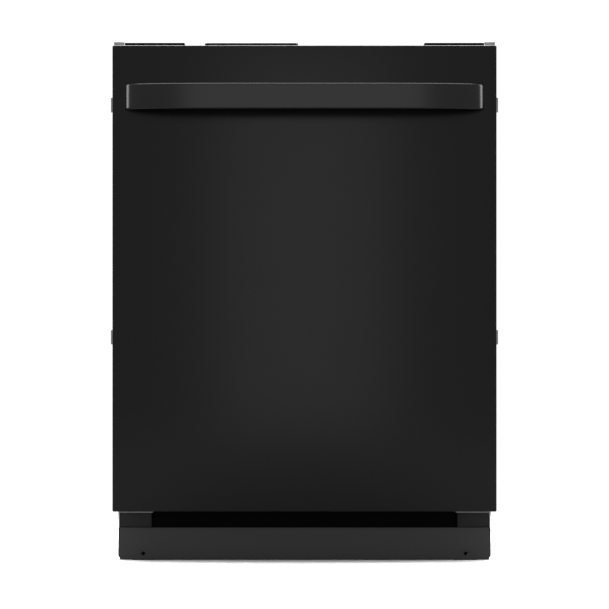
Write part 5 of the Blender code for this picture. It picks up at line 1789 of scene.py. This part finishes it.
def build_heater():
    low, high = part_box("heating_element")
    z = low.z + 0.0087
    r, wire = (high.x - low.x) / 2 - 0.0038, 0.0036
    angles = [math.radians(-70 + 320 * i / 90) for i in range(91)]
    ring = [Vector((r * math.cos(a), SUMP_Y + r * math.sin(a), z)) for a in angles]
    stub = Vector((0, -0.012, 0))
    drop = Vector((0, -0.012, low.z - z + 0.0002))
    path = [ring[0] + drop, ring[0] + stub, *ring, ring[-1] + stub, ring[-1] + drop]
    mesh = tube(path, wire, False, False, 4)
    piece("heater_tube", mesh, "cabinet", "heater_sheath", None, ("heating_element",), 1.0)
    clips = []
    for turn in (20, 90, 160, 225):
        a = math.radians(turn)
        at = Vector((r * math.cos(a), SUMP_Y + r * math.sin(a), 0))
        clips.append(
            block_of(
                (at.x - 0.003, at.x + 0.003), (at.y - 0.0065, at.y + 0.0065), (low.z, z + 0.0045), 0.0008
            )
        )
    piece("heater_clips", joined(*clips), "cabinet", "stainless_steel")
    nuts = [
        drum_mesh((end.x, end.y, low.z + 0.0035), 0.0072, 0.005, "Z", sides=6)
        for end in (path[0], path[-1])
    ]
    bevelled(piece("heater_nuts", joined(*nuts), "cabinet", "zinc_plate"), 0.0004)


def build_works():
    """What sits under the tub: pumps, water valve and wiring box."""
    for node in ("circulation_pump", "drain_pump"):
        refined(node, 0.0010)
    low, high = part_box("circulation_pump")
    y, z = (low.y + high.y) / 2, (low.z + high.z) / 2
    fin = ridge_ring(0.0285, 0.0318, 0.0012, 0.0009, 40)
    turn = Matrix.Rotation(math.pi / 2, 4, "Y")
    fins = rows(
        placed(fin, Matrix.Translation((low.x + 0.052, y, z)) @ turn), 8, (0.0088, 0, 0), "black_plastic"
    )
    piece("motor_fins", fins, "cabinet", "black_plastic")
    winding = drum_mesh((high.x - 0.001, y, z), 0.019, 0.0034, "X", 0.017, 36)
    piece("motor_winding", winding, "cabinet", "black_plastic", "copper")
    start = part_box("sump")[1].x - 0.004
    neck = tube(
        [(start - 0.010, y, 0.092), (start + 0.012, y, 0.092), (low.x + 0.010, y, z + 0.004)],
        0.015,
        True,
        False,
        6,
    )
    piece("pump_neck", neck, "cabinet", "seal_rubber")
    low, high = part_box("drain_pump")
    z = 0.086
    neck = tube(
        [(0.014 - start, y, z), (-start - 0.010, y, z), (high.x - 0.006, y, z)], 0.011, True, False, 6
    )
    piece("drain_neck", neck, "cabinet", "seal_rubber")
    ring = ridge_ring(0.0100, 0.0122, 0.0010, 0.0007, 28)
    barbs = placed(
        ring, Matrix.Translation((-0.117, high.y - 0.003, z)) @ Matrix.Rotation(math.pi / 2, 4, "X")
    )
    piece("drain_barbs", rows(barbs, 3, (0, -0.004, 0), "black_plastic"), "cabinet", "black_plastic")
    build_supply()


def build_supply():
    refined("inlet_valve", 0.0010)
    refined("junction_box", 0.0006)
    low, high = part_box("inlet_valve")
    x = (low.x + high.x) / 2
    band = block_of(
        (low.x - 0.0008, high.x + 0.0008),
        (low.y + 0.004, low.y + 0.0055),
        (low.z + 0.003, high.z + 0.0006),
        0.0003,
    )
    piece(
        "valve_ribs",
        rows(band, 5, (0, 0.0075, 0), "black_plastic"),
        "cabinet",
        "grey_plastic",
        "black_plastic",
    )
    ring = ridge_ring(0.0115, 0.0129, 0.0009, 0.0005, 28)
    turn = Matrix.Translation((x, high.y - 0.004, (low.z + high.z) / 2)) @ Matrix.Rotation(
        math.pi / 2, 4, "X"
    )
    piece("valve_thread", rows(placed(ring, turn), 6, (0, -0.0028, 0), "zinc_plate"), "cabinet", "zinc_plate")
    low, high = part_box("junction_box")
    screws(
        "box_screws",
        "cabinet",
        [(low.x + 0.008, low.y + 0.008, high.z), (high.x - 0.008, high.y - 0.008, high.z)],
        (0, 0, 1),
        radius=0.003,
    )
    knock = turned([(0, 0.0006), (0.0105, 0.0006), (0.0110, 0), (0, 0)], (0, 0), 32)
    turn = Matrix.Translation(((low.x + high.x) / 2, low.y, (low.z + high.z) / 2)) @ Matrix.Rotation(
        math.pi / 2, 4, "X"
    )
    piece("box_knockout", placed(knock, turn), "cabinet", "zinc_plate")


# ---------------------------------------------------------------- stage


STUDIO_LIGHTS = (  # name, place, aim, width, power and, where it isn't square, height
    ("overhead", (0, 1.0, 3.4), (0, 0, 0), 4.0, 165),
    ("sheen", (0, -5.2, 0.7), (0, 0, 0.42), 2.2, 12.4, 4.6),
    ("left side", (-3.3, 0.5, 1.4), (0, 0, 0.4), 1.2, 30, 2.4),
    ("right side", (3.3, 0.5, 1.4), (0, 0, 0.4), 1.2, 30, 2.4),
    ("rear fill", (0, 4.2, 2.2), (0, 0, 0.4), 3.0, 90),
)
FLOOR_SHADES = (0.37, 2.6)  # for other rays, for camera rays
WORLD_STRENGTHS = (0.30, 1.1)  # for other rays, for camera rays
FLOOR_FADE = (0.75, 1.3)  # where the floor starts to fade and where it has gone
HANDLE_REACH = 0.042
CAMERA_DISTANCE = 6.0
CAMERA_HEIGHT = 0.407
LENS_MM = 224.8
SENSOR_MM = 36


def area_light(name, place, target, size, power, tall=None):
    light = bpy.data.lights.new(name, "AREA")
    light.energy = power
    light.size = size
    if tall:
        light.shape = "RECTANGLE"
        light.size_y = tall
    item = bpy.data.objects.new(name, light)
    item.location = place
    item.rotation_euler = (Vector(target) - Vector(place)).to_track_quat("-Z", "Y").to_euler()
    bpy.context.scene.collection.objects.link(item)
    return item


def fade_out(tree, surface):
    """The floor fades into the white round it."""
    coordinates = tree.nodes.new("ShaderNodeTexCoord")
    reach = tree.nodes.new("ShaderNodeVectorMath")
    reach.operation = "LENGTH"
    fade = tree.nodes.new("ShaderNodeMapRange")
    fade.interpolation_type = "SMOOTHSTEP"
    fade.inputs["From Min"].default_value, fade.inputs["From Max"].default_value = FLOOR_FADE
    fade.inputs["To Min"].default_value = 1.0
    fade.inputs["To Max"].default_value = 0.0
    tree.links.new(coordinates.outputs["Object"], reach.inputs[0])
    tree.links.new(reach.outputs["Value"], fade.inputs["Value"])
    tree.links.new(fade.outputs["Result"], surface.inputs["Alpha"])


def shown_brighter(tree, plain, shown, socket):
    """Gives a socket one value for the camera and a plain one for every other ray."""
    path = tree.nodes.new("ShaderNodeLightPath")
    value = tree.nodes.new("ShaderNodeMapRange")
    value.inputs["To Min"].default_value = plain
    value.inputs["To Max"].default_value = shown
    tree.links.new(path.outputs["Is Camera Ray"], value.inputs["Value"])
    tree.links.new(value.outputs["Result"], socket)


def build_stage():
    """A plain white floor, soft studio lights and the level camera straight in front."""
    scene = bpy.context.scene
    bm = bmesh.new()
    bmesh.ops.create_grid(bm, x_segments=2, y_segments=2, size=3.2)
    floor = bpy.data.objects.new("floor", new_mesh("floor", bm))
    scene.collection.objects.link(floor)
    floor.location.z = -0.0005
    paint = bpy.data.materials.new("white floor")
    paint.use_nodes = True
    surface = paint.node_tree.nodes["Principled BSDF"]
    surface.inputs["Roughness"].default_value = 0.95
    surface.inputs["Specular IOR Level"].default_value = 0.0
    floor.data.materials.append(paint)
    fade_out(paint.node_tree, surface)
    shown_brighter(paint.node_tree, *FLOOR_SHADES, surface.inputs["Base Color"])
    world = bpy.data.worlds.new("studio")
    scene.world = world
    world.use_nodes = True
    tree = world.node_tree
    back = tree.nodes["Background"]
    shown_brighter(tree, *WORLD_STRENGTHS, back.inputs["Strength"])
    back.inputs["Color"].default_value = (1, 1, 1, 1)
    for light in STUDIO_LIGHTS:
        area_light(*light)
    face = CAD_BOX[0][1] + HANDLE_REACH
    camera = bpy.data.cameras.new("front")
    camera.sensor_width = SENSOR_MM
    camera.lens = LENS_MM
    item = bpy.data.objects.new("front", camera)
    item.location = (0.0, face - CAMERA_DISTANCE, CAMERA_HEIGHT)
    item.rotation_euler = (math.pi / 2, 0, 0)
    scene.collection.objects.link(item)
    scene.camera = item
    scene.view_settings.view_transform = "Standard"
    scene.view_settings.look = "None"


# ---------------------------------------------------------------- add-on


class DISHWASHER_OT_finishes(bpy.types.Operator):
    """Builds the materials, the shader groups and the geometry trees"""

    bl_idname = "dishwasher.finishes"
    bl_label = "Finishes and trees"

    def execute(self, context):
        build_groups()
        build_finishes(context.scene.dishwasher_colours)
        build_trees()
        return {"FINISHED"}


class DISHWASHER_OT_door_skin(bpy.types.Operator):
    """Makes the painted front of the door and its hems"""

    bl_idname = "dishwasher.door_skin"
    bl_label = "Door skin"

    def execute(self, context):
        build_door_skin()
        return {"FINISHED"}


class DISHWASHER_OT_door_liner(bpy.types.Operator):
    """Makes the pressed stainless inside of the door"""

    bl_idname = "dishwasher.door_liner"
    bl_label = "Door liner"

    def execute(self, context):
        build_inner_panel()
        return {"FINISHED"}


class DISHWASHER_OT_handle(bpy.types.Operator):
    """Sweeps the wide bowed bar and its end gaskets"""

    bl_idname = "dishwasher.handle"
    bl_label = "Bar handle"

    def execute(self, context):
        build_handle()
        return {"FINISHED"}


class DISHWASHER_OT_console(bpy.types.Operator):
    """Makes the control strip, its keys, lamps and marks"""

    bl_idname = "dishwasher.console"
    bl_label = "Hidden controls"

    def execute(self, context):
        build_console()
        return {"FINISHED"}


class DISHWASHER_OT_dispenser(bpy.types.Operator):
    """Makes the detergent dispenser, its lid and the rinse-aid cap"""

    bl_idname = "dishwasher.dispenser"
    bl_label = "Dispenser"

    def execute(self, context):
        build_dispenser()
        return {"FINISHED"}


class DISHWASHER_OT_hinges(bpy.types.Operator):
    """Makes the hinge arms, the door springs and their links"""

    bl_idname = "dishwasher.hinges"
    bl_label = "Hinges and springs"

    def execute(self, context):
        build_hinges()
        return {"FINISHED"}


class DISHWASHER_OT_latch(bpy.types.Operator):
    """Makes the latch pawl and its strike"""

    bl_idname = "dishwasher.latch"
    bl_label = "Latch"

    def execute(self, context):
        build_latch()
        return {"FINISHED"}


class DISHWASHER_OT_uprights(bpy.types.Operator):
    """Makes the galvanised uprights, clips and counter brackets"""

    bl_idname = "dishwasher.uprights"
    bl_label = "Side uprights"

    def execute(self, context):
        build_uprights()
        return {"FINISHED"}


class DISHWASHER_OT_toe_boards(bpy.types.Operator):
    """Makes the toe kick and the access panel behind it"""

    bl_idname = "dishwasher.toe_boards"
    bl_label = "Toe boards"

    def execute(self, context):
        build_toe_boards()
        return {"FINISHED"}


class DISHWASHER_OT_base(bpy.types.Operator):
    """Makes the base pan and the threaded legs"""

    bl_idname = "dishwasher.base"
    bl_label = "Base and legs"

    def execute(self, context):
        build_base()
        return {"FINISHED"}


class DISHWASHER_OT_blanket(bpy.types.Operator):
    """Makes the stitched felt blanket round the tub"""

    bl_idname = "dishwasher.blanket"
    bl_label = "Sound blanket"

    def execute(self, context):
        build_blanket()
        return {"FINISHED"}


class DISHWASHER_OT_pads(bpy.types.Operator):
    """Makes the pad on the top and the damping sheet in the door"""

    bl_idname = "dishwasher.pads"
    bl_label = "Felt pads"

    def execute(self, context):
        build_pads()
        return {"FINISHED"}


class DISHWASHER_OT_tub(bpy.types.Operator):
    """Makes the pressed stainless tub"""

    bl_idname = "dishwasher.tub"
    bl_label = "Tub"

    def execute(self, context):
        build_tub()
        return {"FINISHED"}


class DISHWASHER_OT_gasket(bpy.types.Operator):
    """Makes the rubber bead round the mouth of the tub"""

    bl_idname = "dishwasher.gasket"
    bl_label = "Door seal"

    def execute(self, context):
        build_gasket()
        return {"FINISHED"}


class DISHWASHER_OT_racks(bpy.types.Operator):
    """Makes both wire racks with their tines and cup shelves"""

    bl_idname = "dishwasher.racks"
    bl_label = "Wire racks"

    def execute(self, context):
        build_racks()
        return {"FINISHED"}


class DISHWASHER_OT_rollers(bpy.types.Operator):
    """Makes the lower rack's spoked wheels and brackets"""

    bl_idname = "dishwasher.rollers"
    bl_label = "Rack wheels"

    def execute(self, context):
        build_rollers()
        return {"FINISHED"}


class DISHWASHER_OT_basket(bpy.types.Operator):
    """Makes the slotted silverware basket"""

    bl_idname = "dishwasher.basket"
    bl_label = "Silverware basket"

    def execute(self, context):
        build_basket()
        return {"FINISHED"}


class DISHWASHER_OT_rails(bpy.types.Operator):
    """Makes the upper rack's rails, rollers and stops"""

    bl_idname = "dishwasher.rails"
    bl_label = "Rack rails"

    def execute(self, context):
        build_rails()
        return {"FINISHED"}


class DISHWASHER_OT_spray_arms(bpy.types.Operator):
    """Makes both spray arms with their nozzles"""

    bl_idname = "dishwasher.spray_arms"
    bl_label = "Spray arms"

    def execute(self, context):
        build_spray_arms()
        return {"FINISHED"}


class DISHWASHER_OT_wash_floor(bpy.types.Operator):
    """Makes the sump, filter, float, water duct and heater"""

    bl_idname = "dishwasher.wash_floor"
    bl_label = "Wash floor"

    def execute(self, context):
        build_wash_floor()
        return {"FINISHED"}


class DISHWASHER_OT_works(bpy.types.Operator):
    """Makes the pumps, the water valve and the wiring box"""

    bl_idname = "dishwasher.works"
    bl_label = "Pumps and supply"

    def execute(self, context):
        build_works()
        return {"FINISHED"}


class DISHWASHER_OT_stage(bpy.types.Operator):
    """Adds the plain floor, the soft lights and the camera"""

    bl_idname = "dishwasher.stage"
    bl_label = "Stage"

    def execute(self, context):
        build_stage()
        return {"FINISHED"}


OPERATORS = (
    DISHWASHER_OT_finishes,
    DISHWASHER_OT_door_skin,
    DISHWASHER_OT_door_liner,
    DISHWASHER_OT_handle,
    DISHWASHER_OT_console,
    DISHWASHER_OT_dispenser,
    DISHWASHER_OT_hinges,
    DISHWASHER_OT_latch,
    DISHWASHER_OT_uprights,
    DISHWASHER_OT_toe_boards,
    DISHWASHER_OT_base,
    DISHWASHER_OT_blanket,
    DISHWASHER_OT_pads,
    DISHWASHER_OT_tub,
    DISHWASHER_OT_gasket,
    DISHWASHER_OT_racks,
    DISHWASHER_OT_rollers,
    DISHWASHER_OT_basket,
    DISHWASHER_OT_rails,
    DISHWASHER_OT_spray_arms,
    DISHWASHER_OT_wash_floor,
    DISHWASHER_OT_works,
    DISHWASHER_OT_stage,
)


class DISHWASHER_PT_pieces(bpy.types.Panel):
    """The sidebar list of the dishwasher's pieces."""

    bl_label = "Dishwasher"
    bl_space_type = "VIEW_3D"
    bl_region_type = "UI"
    bl_category = "Dishwasher"

    def draw(self, context):
        for settings in (context.scene.dishwasher_sizes, context.scene.dishwasher_colours):
            for name in settings.__annotations__:
                self.layout.prop(settings, name)
        for operator in OPERATORS:
            self.layout.operator(operator.bl_idname)


CLASSES = (DishwasherSizes, DishwasherColours, *OPERATORS, DISHWASHER_PT_pieces)


def register():
    for item in CLASSES:
        bpy.utils.register_class(item)
    bpy.types.Scene.dishwasher_sizes = bpy.props.PointerProperty(type=DishwasherSizes)
    bpy.types.Scene.dishwasher_colours = bpy.props.PointerProperty(type=DishwasherColours)


def unregister():
    del bpy.types.Scene.dishwasher_colours
    del bpy.types.Scene.dishwasher_sizes
    for item in reversed(CLASSES):
        bpy.utils.unregister_class(item)


def main():
    register()
    for operator in OPERATORS:
        getattr(bpy.ops.dishwasher, operator.bl_idname.split(".")[1])()


if __name__ == "__main__":
    main()
